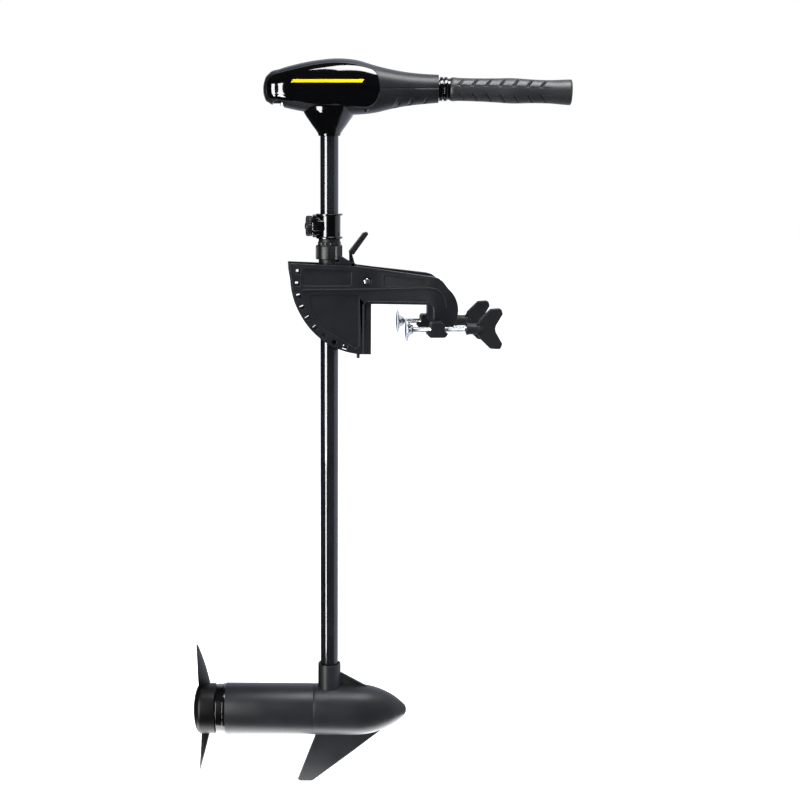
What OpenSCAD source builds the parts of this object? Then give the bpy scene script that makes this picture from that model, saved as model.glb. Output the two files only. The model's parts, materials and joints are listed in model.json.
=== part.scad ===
// Transom-mount electric trolling motor.
// Origin: where the transom-bearing face meets the transom-top ledge, on the bracket's middle plane.
// +X points into the boat, towards the clamp screws, +Z is up, Y is across the bracket.

/* [Bracket] */
// Distance from the transom face out to the steering shaft's axis
shaft_out = 63; // [60:1:66]
// Width over the two quadrant cheeks
cheek_w = 45; // [44:0.5:48]
// Thickness of one cheek wall
cheek_t = 5; // [4:0.5:5]
// Radius of the quadrant, about the tilt pin
quadrant_r = 117; // [115:1:120]
// Radius of the ring of lock windows
window_r = 107; // [106:0.5:108]
// Number of lock windows
window_count = 9; // [5:1:9]
// Angle between neighbouring lock windows
window_step = 10; // [9:1:10]
// Distance between the two clamp screws
screw_gap = 108; // [104:1:112]

/* [Shaft] */
// Outer diameter of the composite shaft tube
shaft_d = 28; // [27:0.5:28.5]
// Inner diameter of the shaft tube
shaft_bore = 21; // [18:0.5:22]
// Height from the motor's axis to the underside of the head's neck
shaft_len = 917; // [760:1:1070]
// Steering angle in which the motor is drawn, seen from above
steer_rest = -6; // [-8:1:0]

/* [Head] */
// Height of the underside of the head's neck above the transom top
neck_z = 255.4; // [240:1:270]
// Width of the head at its widest
head_w = 86; // [78:1:92]
// Wall thickness of the head shells
head_wall = 3; // [2.5:0.5:3.5]
// Downward slope of the tiller
tiller_droop = 1.5; // [0:0.5:2]

/* [Motor] */
// Outer diameter of the motor housing
motor_d = 82.6; // [80:0.1:84]
// Diameter swept by the propeller
prop_d = 224; // [200:1:230]
// Pitch angle of the blades at three quarters of the radius
blade_pitch = 12; // [8:1:16]

/* [Clamp] */
// Diameter of the clamp screws
screw_d = 8; // [7:0.5:9]
// Diameter of the clamp pads
pad_d = 35.5; // [32:0.5:38]
// Distance from the transom face to the clamp pads, as drawn
jaw_open = 50; // [46:1:52]

/* [Hidden] */
$fn = 64;
eps = 0.01;
fit = 0.05;

// Tilt pin and lock
pivot = [-7, 35];
pin_r = 4;
pin_head_r = 4.6;
pin_recess_r = 7;
half_w = cheek_w / 2;
gap_half = half_w - cheek_t;
first_window = 171.5;
window_size = 7.2;
lock_travel = 6.5;
lock_size = 6;
lock_angle = first_window + (window_count - 1) * window_step;
lock_out = [cos(lock_angle), sin(lock_angle)];
lock_at = pivot + lock_out * (window_r - lock_travel);
lever_at = [-28, 60];
lever_arm = 10.8;
crank_at = lever_at + [-lock_out.y, lock_out.x] * lever_arm;

// Arms and clamp
arm_end = [88, -9];
arm_end_r = 44;
leg_x = 95;
leg_in = 28;
leg_out = 43;
screw_y = screw_gap / 2;
screw_z = -36;
boss_x = [87, 108];
pad_t = 2;

// Swivel and collar
swivel_r = 17;
swivel_low = -54;
neck_r = 16.6;
neck_top = 99.7;
nut_low = 65;
nut_top = 92;
nut_reach = 21.2;
collar_low = 100;
collar_top = 138;
collar_r = 17.2;
flange_r = 20.6;
knob_z = (collar_low + collar_top) / 2;

// Shaft and motor
shaft_r = shaft_d / 2;
motor_z = neck_z - shaft_len;
motor_r = motor_d / 2;
can_x = [-167.5, -25.5];
nose_tip = 124.5;
hub_x = [-219.5, -184.5];
hub_r = 40.4;
socket_r = 17.9;
axle_r = 4.75;
bell_r = 39.6;
bolt_at = 34;
bolt_r = 2;
bolt_head_r = 3.2;
bolt_end = 14;

// Head
split_z = 326;
tiller_z = 330;
tiller_r = 14;
socket_x = 165;
grip_x = [182.5, 366];
cable_x = -78;
scoop_z = 300;
scoop_r = 8.6;
gland_r = 6.5;
// Where the screws that hold the cover stand, about the shaft
screw_spots = [[-70, 24], [-70, -24], [56, 24], [56, -24]];
head_screw_z = 303;
head_screw_top = 338;
// Stations of the head: [x, top, bottom, half width as a share of the widest, squareness]
HEAD = [[-99.5, 333, 317, 0.30, 2.0], [-97.5, 340, 311, 0.50, 2.1], [-91, 348.8, 304.5, 0.70, 2.3],
        [-74, 355.6, 299.5, 0.86, 2.4], [-45, 363.5, 293, 0.97, 2.5], [-15, 368.8, 289.3, 1.0, 2.5],
        [15, 371, 287.5, 1.0, 2.5], [42, 368.3, 287.3, 0.95, 2.5], [70, 360.3, 290.2, 0.84, 2.4],
        [97, 354, 296.5, 0.72, 2.3], [117, 350.6, 300, 0.63, 2.2], [137, 348.4, 302.4, 0.56, 2.1],
        [165, 346.8, 304.8, 0.49, 2.0]];

// ---- helpers ----
function unit(v) = v / norm(v);

// Points of a fillet of radius r at corner b, between its neighbours a and c
function fillet(a, b, c, r, n) =
    let (u = unit(a - b), v = unit(c - b), half = acos(u * v) / 2,
         mid = b + unit(u + v) * r / sin(half), from = b + u * (r / tan(half)) - mid,
         to = b + v * (r / tan(half)) - mid, start = atan2(from.y, from.x),
         turn = atan2(cross(from, to), from * to))
    [for (i = [0 : n]) mid + r * [cos(start + turn * i / n), sin(start + turn * i / n)]];

// Outline whose corners [x, y, radius] are rounded
function rounded(corners, n = 6) =
    let (m = len(corners))
    [for (i = [0 : m - 1])
        let (a = corners[(i + m - 1) % m], b = corners[i], c = corners[(i + 1) % m])
        each b.z > 0 ? fillet([a.x, a.y], [b.x, b.y], [c.x, c.y], b.z, n) : [[b.x, b.y]]];

// Points on an arc
function arc(mid, r, from, to, n = 10) =
    [for (i = [0 : n]) let (t = from + (to - from) * i / n) mid + r * [cos(t), sin(t)]];

// A side-view outline, [x, z], given thickness across Y
module side_plate(y, t) {
    translate([0, y + t / 2, 0])
        rotate([90, 0, 0])
            linear_extrude(t) children();
}

// A cylinder along X from x1 to x2
module rod_x(x1, x2, r) {
    translate([x1, 0, 0])
        rotate([0, 90, 0])
            cylinder(h = x2 - x1, r = r);
}

// A cylinder across Y, centred on the middle plane
module rod_y(r, w) {
    rotate([90, 0, 0])
        cylinder(h = w, r = r, center = true);
}

// A profile [radius, x] turned about the X axis
module turned_x(profile) {
    rotate([0, 90, 0])
        rotate_extrude()
            polygon(profile);
}

// A tube along X
module tube_x(x1, x2, r, bore) {
    difference() {
        rod_x(x1, x2, r);
        rod_x(x1 - 1, x2 + 1, bore);
    }
}

// The frame of everything that steers: the shaft's axis, at the drawn steering angle
module steered() {
    translate([-shaft_out, 0, 0])
        rotate([0, 0, steer_rest]) children();
}

// The frame of the motor's axis
module at_motor() {
    steered()
        translate([0, 0, motor_z]) children();
}

// The frame of the tiller's axis, which slopes down towards the grip
module at_tiller() {
    steered()
        translate([0, 0, tiller_z])
            rotate([0, tiller_droop, 0]) children();
}

// A solid through rings of points, closed at both ends
module skin(rings) {
    m = len(rings[0]);
    count = len(rings);
    points = [for (ring = rings) each ring];
    sides = [for (i = [0 : count - 2]) for (j = [0 : m - 1])
        [i * m + j, i * m + (j + 1) % m, (i + 1) * m + (j + 1) % m, (i + 1) * m + j]];
    first = [for (j = [m - 1 : -1 : 0]) j];
    last = [for (j = [0 : m - 1]) (count - 1) * m + j];
    polyhedron(points = points, faces = concat(sides, [first], [last]), convexity = 6);
}

// One ring of the head at a station, shrunk by the inset
function head_ring(s, inset, n = 32) =
    let (mid = (s[1] + s[2]) / 2, up = (s[1] - s[2]) / 2 - inset, wide = head_w / 2 * s[3] - inset)
    [for (i = [0 : n - 1])
        let (t = 360 * i / n, c = cos(t), k = sin(t))
        [s[0], -wide * sign(c) * pow(abs(c), 2 / s[4]), mid + up * sign(k) * pow(abs(k), 2 / s[4])]];

module head_form(inset) {
    skin([for (s = HEAD) head_ring(s, inset)]);
}

// ---- bracket ----
function side_outline() = concat(
    [[-126, 63.5], [-125.3, 52], [-124.2, 44]],
    arc([pivot.x + 1, pivot.y + 3], quadrant_r - 0.5, 182, 264, 20),
    [[0, -78.7], [0, 0], [leg_x - 8, 0]],
    arc([leg_x - 8, -8], 8, 90, 0, 4),
    [[leg_x, -31], [leg_x + 4, -34], [leg_x + 30, -34]],
    arc(arm_end, arm_end_r, -24, 50, 14),
    [[108, 35.5], [101.5, 40.5], [93, 42.8], [78, 44.8], [25, 52], [-23, 58.5]]);

// Top view of one cheek and arm, flaring out to the clamp
function plan_outline() = [[-140, gap_half], [6, gap_half], [78, leg_in], [150, leg_in],
    [150, leg_out], [95, leg_out], [8, half_w], [-140, half_w]];

module windows() {
    for (i = [0 : window_count - 1])
        translate([pivot.x, 0, pivot.y])
            rotate([0, -first_window - i * window_step, 0])
                translate([window_r, 0, 0])
                    cube([window_size, 3 * cheek_w, window_size], center = true);
}

module lock_groove() {
    intersection() {
        translate([pivot.x, 0, pivot.y])
            difference() {
                rod_y(window_r - window_size / 2 + 0.4, 2 * gap_half + 5);
                rod_y(window_r - lock_travel - lock_size / 2 - 1, 2 * gap_half + 6);
            }
        translate([-140, -half_w, -90])
            cube([115, cheek_w, 150]);
    }
}

module cheek_and_arm(side) {
    intersection() {
        side_plate(0, 200)
            polygon(side_outline());
        scale([1, side, 1])
            translate([0, 0, -100])
                linear_extrude(200)
                    polygon(plan_outline());
    }
}

module clamp_boss(side) {
    difference() {
        translate([0, side * (leg_out - 1 + 11), 0])
            side_plate(0, 22)
                polygon(rounded([[boss_x[0] - 6, -42, 2], [boss_x[0] - 1, -48, 3], [boss_x[1] + 1, -48, 3],
                                 [boss_x[1] + 6, -42, 2], [boss_x[1], -38, 0], [boss_x[1], -25, 4],
                                 [boss_x[0], -25, 4], [boss_x[0], -38, 0]], 4));
        translate([0, side * screw_y, screw_z])
            rod_x(boss_x[0] - 10, boss_x[1] + 10, 7);
    }
}

module bracket_body() {
    color("#242628")
    difference() {
        union() {
            for (side = [-1, 1]) {
                cheek_and_arm(side);
                clamp_boss(side);
            }
            translate([-9, -gap_half - 1, -78])
                cube([9, 2 * gap_half + 2, 86]);
            side_plate(0, 2 * gap_half + 2)
                polygon([[-9, 0], [leg_x - 8, 0], [leg_x - 8, 7], [-9, 8]]);
            intersection() {
                translate([-9, 0, 0])
                    linear_extrude(7)
                        polygon([[0, -20], [17, -20], [85, -leg_in - 1], [104, -leg_in - 1],
                                 [104, leg_in + 1], [85, leg_in + 1], [17, 20], [0, 20]]);
                side_plate(0, 200)
                    polygon(side_outline());
            }
            for (side = [-1, 1])
                ribs(side);
            translate([-20, -half_w + 3, -84])
                cylinder(h = 8, r = 2.5);
        }
        translate([pivot.x, 0, pivot.y])
            rod_y(pin_r + fit, 80);
        for (side = [-1, 1])
            panel_recesses(side);
        windows();
        lock_groove();
    }
}

// The layer of a cheek's and arm's outer face, from `inner` below the face to `outer` above it
module face_layer(side, inner, outer) {
    scale([1, side, 1])
        translate([0, 0, -100])
            linear_extrude(200)
                polygon([[-140, half_w - inner], [8, half_w - inner], [leg_x, leg_out - inner],
                         [150, leg_out - inner], [150, leg_out + outer], [leg_x, leg_out + outer],
                         [8, half_w + outer], [-140, half_w + outer]]);
}

// Raised ribs: the band below the pin that turns down along the arm, and the one around the throat
module ribs(side) {
    throat_in = arc([-5, -3.4], 8, 180, 90, 4);
    throat_out = arc([-5, -3.4], 5.8, 90, 180, 4);
    intersection() {
        face_layer(side, 0.8, 1.6);
        side_plate(0, 200)
            polygon(side_outline());
        side_plate(0, 200) {
            polygon([[-106, 23.8], [8, 23.8], [84, 27], [97, 25.5], [107, 18.5], [113, 8], [115, -4],
                     [113, -4], [111, 7], [105.5, 16.5], [96, 23.3], [84, 24.8], [8, 21.6],
                     [-106, 21.6]]);
            polygon(concat([[-13, -77]], throat_in, [[leg_x - 9, 4.6], [leg_x - 9, 2.4]], throat_out,
                           [[-10.8, -77]]));
        }
    }
}

// Recessed panels in a cheek's and arm's outer face
module panel_recesses(side) {
    depth = 1.6;
    intersection() {
        face_layer(side, depth, depth + 1);
        side_plate(0, 200) {
            polygon(rounded([[-106, 55, 3], [-106, 29, 3], [-31, 28.5, 3], [-31, 51.5, 3]], 3));
            polygon(rounded([[-19, -72, 5], [-19, 15, 6], [-96, 15, 5], [-93, -7, 8], [-73, -38, 12]],
                            4));
            polygon(rounded([[19, 44.5, 3], [19, 26.8, 3], [84, 30, 3], [84, 38, 3]], 3));
            translate([-8.5, -80])
                square([9, 82]);
        }
    }
    side_plate(side * half_w, 2 * depth)
        translate(pivot)
            circle(r = pin_recess_r);
}

module tilt_pin() {
    color("#c9ccd0")
    translate([pivot.x, 0, pivot.y]) {
        rod_y(pin_r, cheek_w + 1);
        translate([0, -half_w + 0.2, 0])
            rotate([90, 0, 0])
                cylinder(h = 1.6, r = pin_head_r);
    }
}

module tilt_pin_clip() {
    color("#8d9196")
    translate([pivot.x, half_w - 1.6, pivot.y])
        rotate([-90, 0, 0])
            difference() {
                cylinder(h = 1, r = 6.5);
                translate([0, 0, -1])
                    cylinder(h = 4, r = pin_r);
            }
}

module screw_inserts() {
    color("#b08d57")
    for (side = [-1, 1])
        translate([0, side * screw_y, screw_z])
            difference() {
                rod_x(boss_x[0] + 1, boss_x[1] - 1, 7);
                rod_x(boss_x[0] - 3, boss_x[1] + 3, screw_d / 2 + fit);
            }
}

// ---- swivel ----
module swivel_block() {
    color("#1c1d1f")
    difference() {
        union() {
            translate([-shaft_out, 0, swivel_low])
                cylinder(h = nut_low - 3 - swivel_low, r = swivel_r);
            translate([-shaft_out, 0, nut_low - 4])
                cylinder(h = neck_top - nut_low + 4, r = neck_r);
            difference() {
                side_plate(0, 2 * gap_half - 1)
                    polygon(rounded([[-55, 74, 0], [-55, -51, 0], [-47, -53, 2], [-45, -69, 2],
                                     [-29, -64, 4], [-29, 10, 8], [-19, 21, 2], [3, 23.4, 8],
                                     [5.5, 33, 8], [4, 45, 8], [-12, 54, 4], [-19, 57, 3],
                                     [-47, 74, 2]], 4));
                translate([-shaft_out, 0, nut_low - 0.5])
                    cylinder(h = 20, r = nut_reach + 0.7);
            }
        }
        translate([-shaft_out, 0, swivel_low - 1])
            cylinder(h = 200, r = 15);
        translate([pivot.x, 0, pivot.y])
            rod_y(pin_r + fit, 60);
        // Slot for the lever, its crank and the lock link
        translate([-46, -3.5, -80])
            cube([14, 7, 170]);
        translate([-40, -3.5, 48])
            cube([40, 7, 40]);
        translate([-40, -3.5, 35.5])
            cube([27.5, 7, 20]);
        // Pocket that the lock bar slides in
        translate([lock_at.x, 0, lock_at.y])
            rotate([0, 90 - lock_angle, 0])
                translate([-lock_size / 2 - 0.4, -30, -lock_travel - lock_size / 2 - 3])
                    cube([lock_size + 0.8, 60, 26]);
        translate([lever_at.x, 0, lever_at.y])
            rod_y(2, 60);
    }
}

module swivel_bushings() {
    color("#e8e4d8")
    for (z = [swivel_low, neck_top - 24])
        translate([-shaft_out, 0, z])
            difference() {
                cylinder(h = 24, r = 15);
                translate([0, 0, -1])
                    cylinder(h = 26, r = shaft_r + fit);
            }
}

module lever_pin() {
    color("#b9bdc2")
    translate([lever_at.x, 0, lever_at.y])
        rod_y(2, 2 * gap_half - 1);
}

module lever_spring() {
    color("#9ba0a6")
    translate([lever_at.x, 0, lever_at.y])
        for (side = [-1, 1])
            translate([0, side * 3, 0])
                difference() {
                    rod_y(3, 0.9);
                    rod_y(2.2, 2);
                }
}

module tension_nut() {
    lobes = 5;
    outline = [for (a = [0 : 4 : 356])
        let (r = nut_reach - 1.6 * (1 - cos(lobes * (a - steer_rest + 110)))) [r * cos(a), r * sin(a)]];
    color("#2a2c2e")
    translate([-shaft_out, 0, 0])
        difference() {
            union() {
                translate([0, 0, nut_low])
                    linear_extrude(nut_top - nut_low - 2)
                        polygon(outline);
                translate([0, 0, nut_top - 3])
                    cylinder(h = 6, r1 = 17.6, r2 = 17.4);
            }
            translate([0, 0, nut_low - 1])
                cylinder(h = 40, r = neck_r + fit);
        }
}

// ---- lever and lock ----
module release_lever() {
    color("#17181a")
    difference() {
        union() {
            side_plate(0, 12)
                polygon(rounded([[-33.4, 79, 1.5], [-10.8, 108.2, 1.5], [-4.6, 110, 1.5],
                                 [-3.4, 106, 1.5], [-26, 74.6, 1.5]], 3));
            side_plate(0, 5)
                polygon(rounded([[-32.5, 79.5, 0], [-32, 61, 3], [-28, 56.5, 3], [-23.5, 60, 3],
                                 [-26, 69, 1], [-28, 76.5, 0]], 3));
            side_plate(0, 5)
                polygon([[lever_at.x, lever_at.y - 2.8], [lever_at.x, lever_at.y + 3],
                         [crank_at.x, crank_at.y + 2], [crank_at.x, crank_at.y - 2]]);
            translate([crank_at.x, 0, crank_at.y])
                rod_y(2, 5);
        }
        translate([lever_at.x, 0, lever_at.y])
            rod_y(2 + fit, 30);
    }
}

module lock_bar() {
    color("#a7abb0") {
        translate([lock_at.x, 0, lock_at.y])
            rotate([0, -lock_angle, 0])
                cube([lock_size, 2 * gap_half + 4, lock_size], center = true);
        side_plate(0, 4)
            polygon([[lock_at.x - 2.6, lock_at.y], [lock_at.x + 2.6, lock_at.y],
                     [lock_at.x + 2.6, crank_at.y - 14.5], [crank_at.x + 3, crank_at.y - 10],
                     [crank_at.x + 3, crank_at.y - 4], [crank_at.x - 3, crank_at.y - 4],
                     [lock_at.x - 2.6, crank_at.y - 7.5]]);
    }
}

// ---- depth collar ----
module depth_collar() {
    color("#1b1c1e")
    steered()
        difference() {
            union() {
                translate([0, 0, collar_low])
                    cylinder(h = collar_top - collar_low, r = collar_r);
                for (z = [collar_low, collar_top - 3])
                    translate([0, 0, z])
                        cylinder(h = 3, r = flange_r);
                translate([0, 0, knob_z])
                    rod_x(-26, -8, 17.5);
            }
            translate([0, 0, collar_low - 1])
                cylinder(h = 60, r = shaft_r + fit);
            translate([0, 0, knob_z])
                rod_x(-30, -10, 5.5);
        }
}

module collar_insert() {
    color("#b08d57")
    steered()
        translate([0, 0, knob_z])
            difference() {
                rod_x(-25, -16.5, 5.5);
                rod_x(-28, -14, 3 + fit);
            }
}

module collar_knob() {
    lobes = 8;
    color("#202224")
    steered()
        translate([0, 0, knob_z])
            difference() {
                union() {
                    turned_x([[0, -38.2], [5, -38], [10.5, -37], [14.2, -35.2], [14.6, -27.4],
                              [13, -26.4], [0, -26.4]]);
                    for (i = [0 : lobes - 1])
                        rotate([360 * i / lobes, 0, 0])
                            translate([0, 0, 12.9])
                                rod_x(-35.6, -27.2, 3.3);
                }
                rod_x(-33, -20, 3);
            }
}

module knob_screw() {
    color("#b9bdc2")
    steered()
        translate([0, 0, knob_z])
            rod_x(-33, -shaft_r - 0.3, 3);
}

// ---- shaft ----
module shaft_tube() {
    color("#0c0c0e")
    steered()
        translate([0, 0, motor_z + 40])
            difference() {
                cylinder(h = neck_z + 46 - motor_z - 40, r = shaft_r);
                translate([0, 0, -1])
                    cylinder(h = 1100, r = shaft_bore / 2);
            }
}

module lead_wires() {
    for (side = [-1, 1])
        color(side < 0 ? "#b02020" : "#181818")
        steered()
            translate([0, side * 4.5, motor_z + 44])
                cylinder(h = neck_z + 50 - motor_z - 44, r = 3);
}

module shaft_clip() {
    color("#c9ccd0")
    steered()
        translate([0, 0, neck_z + 41])
            difference() {
                cylinder(h = 3, r = 20);
                translate([0, 0, -1])
                    cylinder(h = 5, r = shaft_r);
            }
}

// ---- head ----
module neck_form() {
    profile = [[0, 0], [16.4, 0], [17.2, 3], [20.5, 8], [25.5, 14.5], [30.5, 22], [35.5, 29],
               [39.5, 36], [41, 44], [0, 46]];
    translate([0, 0, neck_z])
        rotate_extrude()
            polygon(profile);
}

module head_solid() {
    head_form(0);
    neck_form();
}

module panel_zone(side, grow) {
    side_plate(side * 50, 100 - 2 * eps)
        polygon(rounded([[-94 - grow, 336, 8], [-93 - grow, 312 - grow, 9], [-20, 301.5 - grow, 30],
                         [56, 297 - grow, 12], [72 + grow, 300, 14], [76.5 + grow, 329, 30],
                         [73 + grow, 352, 9], [43, 362 + grow, 40], [14, 365.5 + grow, 60],
                         [-20, 362.5 + grow, 60], [-86, 347 + grow, 12]], 4));
}

// The gloss panel lies in a shallow recess in the side of the head
module panel_layer(side, outer, inner, grow) {
    difference() {
        intersection() {
            head_form(outer);
            panel_zone(side, grow);
        }
        head_form(inner);
    }
}

// Solid places inside the shells: the tiller's guide, screw posts, switch pedestal and cable scoop
module head_cores() {
    translate([socket_x - 22, -50, 280])
        cube([30, 100, 100]);
    for (p = screw_spots)
        translate([p.x, p.y, 280])
            cylinder(h = 90, r = 5);
    translate([-54, -8, 280])
        cube([18, 16, 36]);
    translate([cable_x, 0, scoop_z])
        rod_y(scoop_r + head_wall, 120);
}

module head_shell() {
    difference() {
        head_solid();
        difference() {
            head_form(head_wall);
            head_cores();
        }
        panel_layer(-1, -2, 1.2, 0.15);
        panel_layer(1, -2, 1.2, 0.15);
        translate([0, 0, neck_z - 1])
            cylinder(h = 60, r = shaft_r);
    }
}

module head_base() {
    color("#2b2d30")
    difference() {
        steered()
            difference() {
                intersection() {
                    head_shell();
                    translate([-150, -80, 200])
                        cube([400, 160, split_z - 200]);
                }
                translate([cable_x, 0, scoop_z])
                    rod_y(scoop_r, 120);
                translate([cable_x, 0, scoop_z])
                    cylinder(h = 20, r = gland_r);
                for (p = screw_spots)
                    translate([p.x, p.y, 280]) {
                        cylinder(h = 60, r = 1.8);
                        cylinder(h = head_screw_z - 280, r = 3.6);
                    }
            }
        at_tiller()
            rod_x(100, 200, tiller_r + fit);
    }
}

module head_cover() {
    color("#2b2d30")
    difference() {
        steered()
            difference() {
                intersection() {
                    head_shell();
                    translate([-150, -80, split_z])
                        cube([400, 160, 100]);
                }
                for (p = screw_spots)
                    translate([p.x, p.y, 280])
                        cylinder(h = head_screw_top - 280, r = 1.8);
            }
        at_tiller()
            rod_x(100, 200, tiller_r + fit);
    }
}

module side_panel_near() {
    color("#050506")
    steered()
        panel_layer(-1, -0.5, 1.2, 0);
}

module side_panel_far() {
    color("#050506")
    steered()
        panel_layer(1, -0.5, 1.2, 0);
}

module cable_gland() {
    color("#101113")
    steered()
        translate([cable_x, 0, 0])
            difference() {
                union() {
                    translate([0, 0, 304])
                        cylinder(h = 14, r = gland_r);
                    translate([0, 0, 312])
                        cylinder(h = 4, r = gland_r + 2.5);
                }
                translate([0, 0, 300])
                    cylinder(h = 30, r = 4.5);
            }
}

module head_screws() {
    color("#c9ccd0")
    steered()
        for (p = screw_spots)
            translate([p.x, p.y, 0]) {
                translate([0, 0, head_screw_z])
                    cylinder(h = head_screw_top - head_screw_z - 1, r = 1.8);
                translate([0, 0, head_screw_z - 2.4])
                    cylinder(h = 2.4, r = 3.5);
            }
}

module speed_switch() {
    color("#d8d2bf")
    at_tiller() {
        difference() {
            translate([-58, -18, -15])
                cube([26, 36, 30]);
            rod_x(-50, 0, 4 + fit);
        }
    }
}

module switch_rod() {
    color("#c9ccd0")
    at_tiller()
        rod_x(-48, 138, 4);
}

// ---- tiller ----
module tiller_tube() {
    color("#0b0b0c")
    at_tiller()
        tube_x(28, 180, tiller_r, 11);
}

module tiller_ferrule() {
    color("#0b0b0c")
    at_tiller()
        turned_x([[tiller_r, 166.6], [18.2, 167], [18.4, 170.6], [15.8, 171.6], [15.8, 172.6],
                  [18.4, 173.6], [18.2, 177.6], [15.8, 178.4], [15.8, 181.6], [tiller_r, 181.6]]);
}

module grip_core() {
    color("#3a3a3c")
    at_tiller() {
        tube_x(40, 196, 8, 4 + fit);
        rod_x(grip_x[0] + 2.5, grip_x[1] - 8, 12);
    }
}

module grip_sleeve() {
    x0 = grip_x[0];
    x1 = grip_x[1];
    color("#333537")
    at_tiller()
        turned_x([[12, x0], [16.8, x0], [17.7, x0 + 2], [17.1, x0 + 24], [18, x0 + 70], [19.4, x0 + 92],
                  [17.6, x0 + 128], [17.5, x0 + 154], [18.9, x0 + 178], [19.3, x1 - 3], [12, x1 - 3]]);
}

module grip_cap() {
    x1 = grip_x[1];
    color("#2c2e30")
    at_tiller()
        turned_x([[0, x1 - 8], [11.9, x1 - 8], [11.9, x1 - 3], [19.3, x1 - 3], [19, x1 - 1], [17, x1],
                  [0, x1]]);
}

// ---- motor ----
module motor_can() {
    color("#1e1f21")
    at_motor()
        tube_x(can_x[0], can_x[1], motor_r, motor_r - 3);
}

// Nose cone, shaft socket, gusset and skeg in one casting
module nose_housing() {
    color("#232427")
    at_motor()
        difference() {
            union() {
                turned_x([[0, can_x[1]], [motor_r, can_x[1]], [motor_r, 36], [41, 46], [39.9, 56.6],
                          [36.4, 73], [30.7, 89], [21.8, 105.5], [14, 115.5], [8.8, 121],
                          [5, 123.5], [0, nose_tip]]);
                rotate_extrude()
                    polygon([[0, 0], [socket_r, 0], [socket_r, 74.5], [19.2, 74.5], [19.2, 77], [18, 78.5],
                             [0, 78.5]]);
                side_plate(0, 6)
                    polygon([[10, 30], [70, 30], [59, 40], [19, 62.5], [10, 62.5]]);
                skeg();
            }
            turned_x([[0, can_x[1] - 1], [motor_r - 3, can_x[1] - 1], [motor_r - 3, 8], [0, 8]]);
            translate([0, 0, 33])
                cylinder(h = 60, r = shaft_r);
            rod_x(0, 26, 7);
            at_bolts()
                rod_x(0, bolt_end, bolt_r);
        }
}

// The two through bolts run between the magnets, above and below the axle
module at_bolts() {
    for (side = [-1, 1])
        translate([0, 0, side * bolt_at]) children();
}

module skeg() {
    outline = [[-19, -34], [-52, -121], [-48, -123.5], [-28, -123.5], [37, -73], [93, -28], [60, -20]];
    side_plate(0, 4.5)
        polygon(rounded([for (p = outline) [p.x, p.y, 0]], 1));
}

module rear_bell() {
    color("#0e0f10")
    at_motor()
        difference() {
            union() {
                rod_x(can_x[0] - 15, can_x[0], bell_r);
                rod_x(can_x[0] - 4, can_x[0], motor_r - 1);
                rod_x(can_x[0] - eps, can_x[0] + 8, motor_r - 3);
            }
            rod_x(can_x[0] - 20, can_x[0] + 20, axle_r + 3);
            rod_x(can_x[0] - 3, can_x[0] + 10, 13);
            rod_x(can_x[0] + 3, can_x[0] + 10, motor_r - 5);
            at_bolts() {
                rod_x(can_x[0] - 16, can_x[0] - 11, bolt_head_r + fit);
                rod_x(can_x[0] - 16, can_x[0] + 10, bolt_r);
            }
        }
}

module field_magnets() {
    color("#4a4a4e")
    at_motor()
        difference() {
            tube_x(-140, -60, motor_r - 3, 31);
            for (side = [-1, 1])
                translate([-150, -60, side * 50 - 20 - side * 6])
                    cube([100, 120, 40]);
        }
}

module brush_plate() {
    color("#b9a27a")
    at_motor()
        difference() {
            tube_x(-24, -20, motor_r - 3, 16);
            at_bolts()
                rod_x(-30, 0, bolt_r);
        }
}

module brushes() {
    color("#2f2f33")
    at_motor()
        for (side = [-1, 1])
            translate([-20, side * 20 - 6.5, -4])
                cube([8, 13, 8]);
}

module motor_bearings() {
    color("#c9ccd0")
    at_motor() {
        tube_x(can_x[0] - 3, can_x[0] + 8, 13, axle_r + fit);
        tube_x(9, 19, 7, axle_r + fit);
    }
}

module shaft_seal() {
    color("#101010")
    at_motor()
        tube_x(can_x[0] - 15, can_x[0] - 3, axle_r + 3, axle_r + fit);
}

module through_bolts() {
    color("#b9bdc2")
    at_motor()
        at_bolts() {
            rod_x(can_x[0] - 11, bolt_end, bolt_r);
            rod_x(can_x[0] - 14.6, can_x[0] - 11, bolt_head_r);
        }
}

module armature() {
    color("#b5652a")
    at_motor()
        tube_x(-138, -62, 30, axle_r);
}

module commutator() {
    color("#c77b3b")
    at_motor()
        tube_x(-30, -8, 13, axle_r);
}

module motor_shaft() {
    color("#c9ccd0")
    at_motor()
        difference() {
            rod_x(-214, 17, axle_r);
            at_drive_pin(24, 2.4);
        }
}

// ---- propeller ----
// Section of a blade at radius r: a thin lens, turned by the pitch at that radius
function blade_ring(r, n = 16) =
    let (share = r / (prop_d / 2), chord = blade_chord(share),
         turn = atan(tan(blade_pitch) * 0.75 / max(share, 0.3)), t = 6.5 - 4.5 * share,
         rake = -16 * share)
    [for (i = [0 : n - 1])
        let (a = 360 * i / n, u = chord * (0.5 * cos(a)) + chord * 0.12 * share,
             v = t / 2 * sin(a))
        [-195.5 + rake + u * sin(turn) + v * cos(turn), u * cos(turn) - v * sin(turn), r]];

// Chord of a blade: wide at mid radius, swept in to the tip
function blade_chord(share) =
    38 * pow(1 - pow(max(share - 0.35, 0) / 0.66, 1.6), 0.75) * (0.62 + 0.6 * min(share, 0.6));

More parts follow.
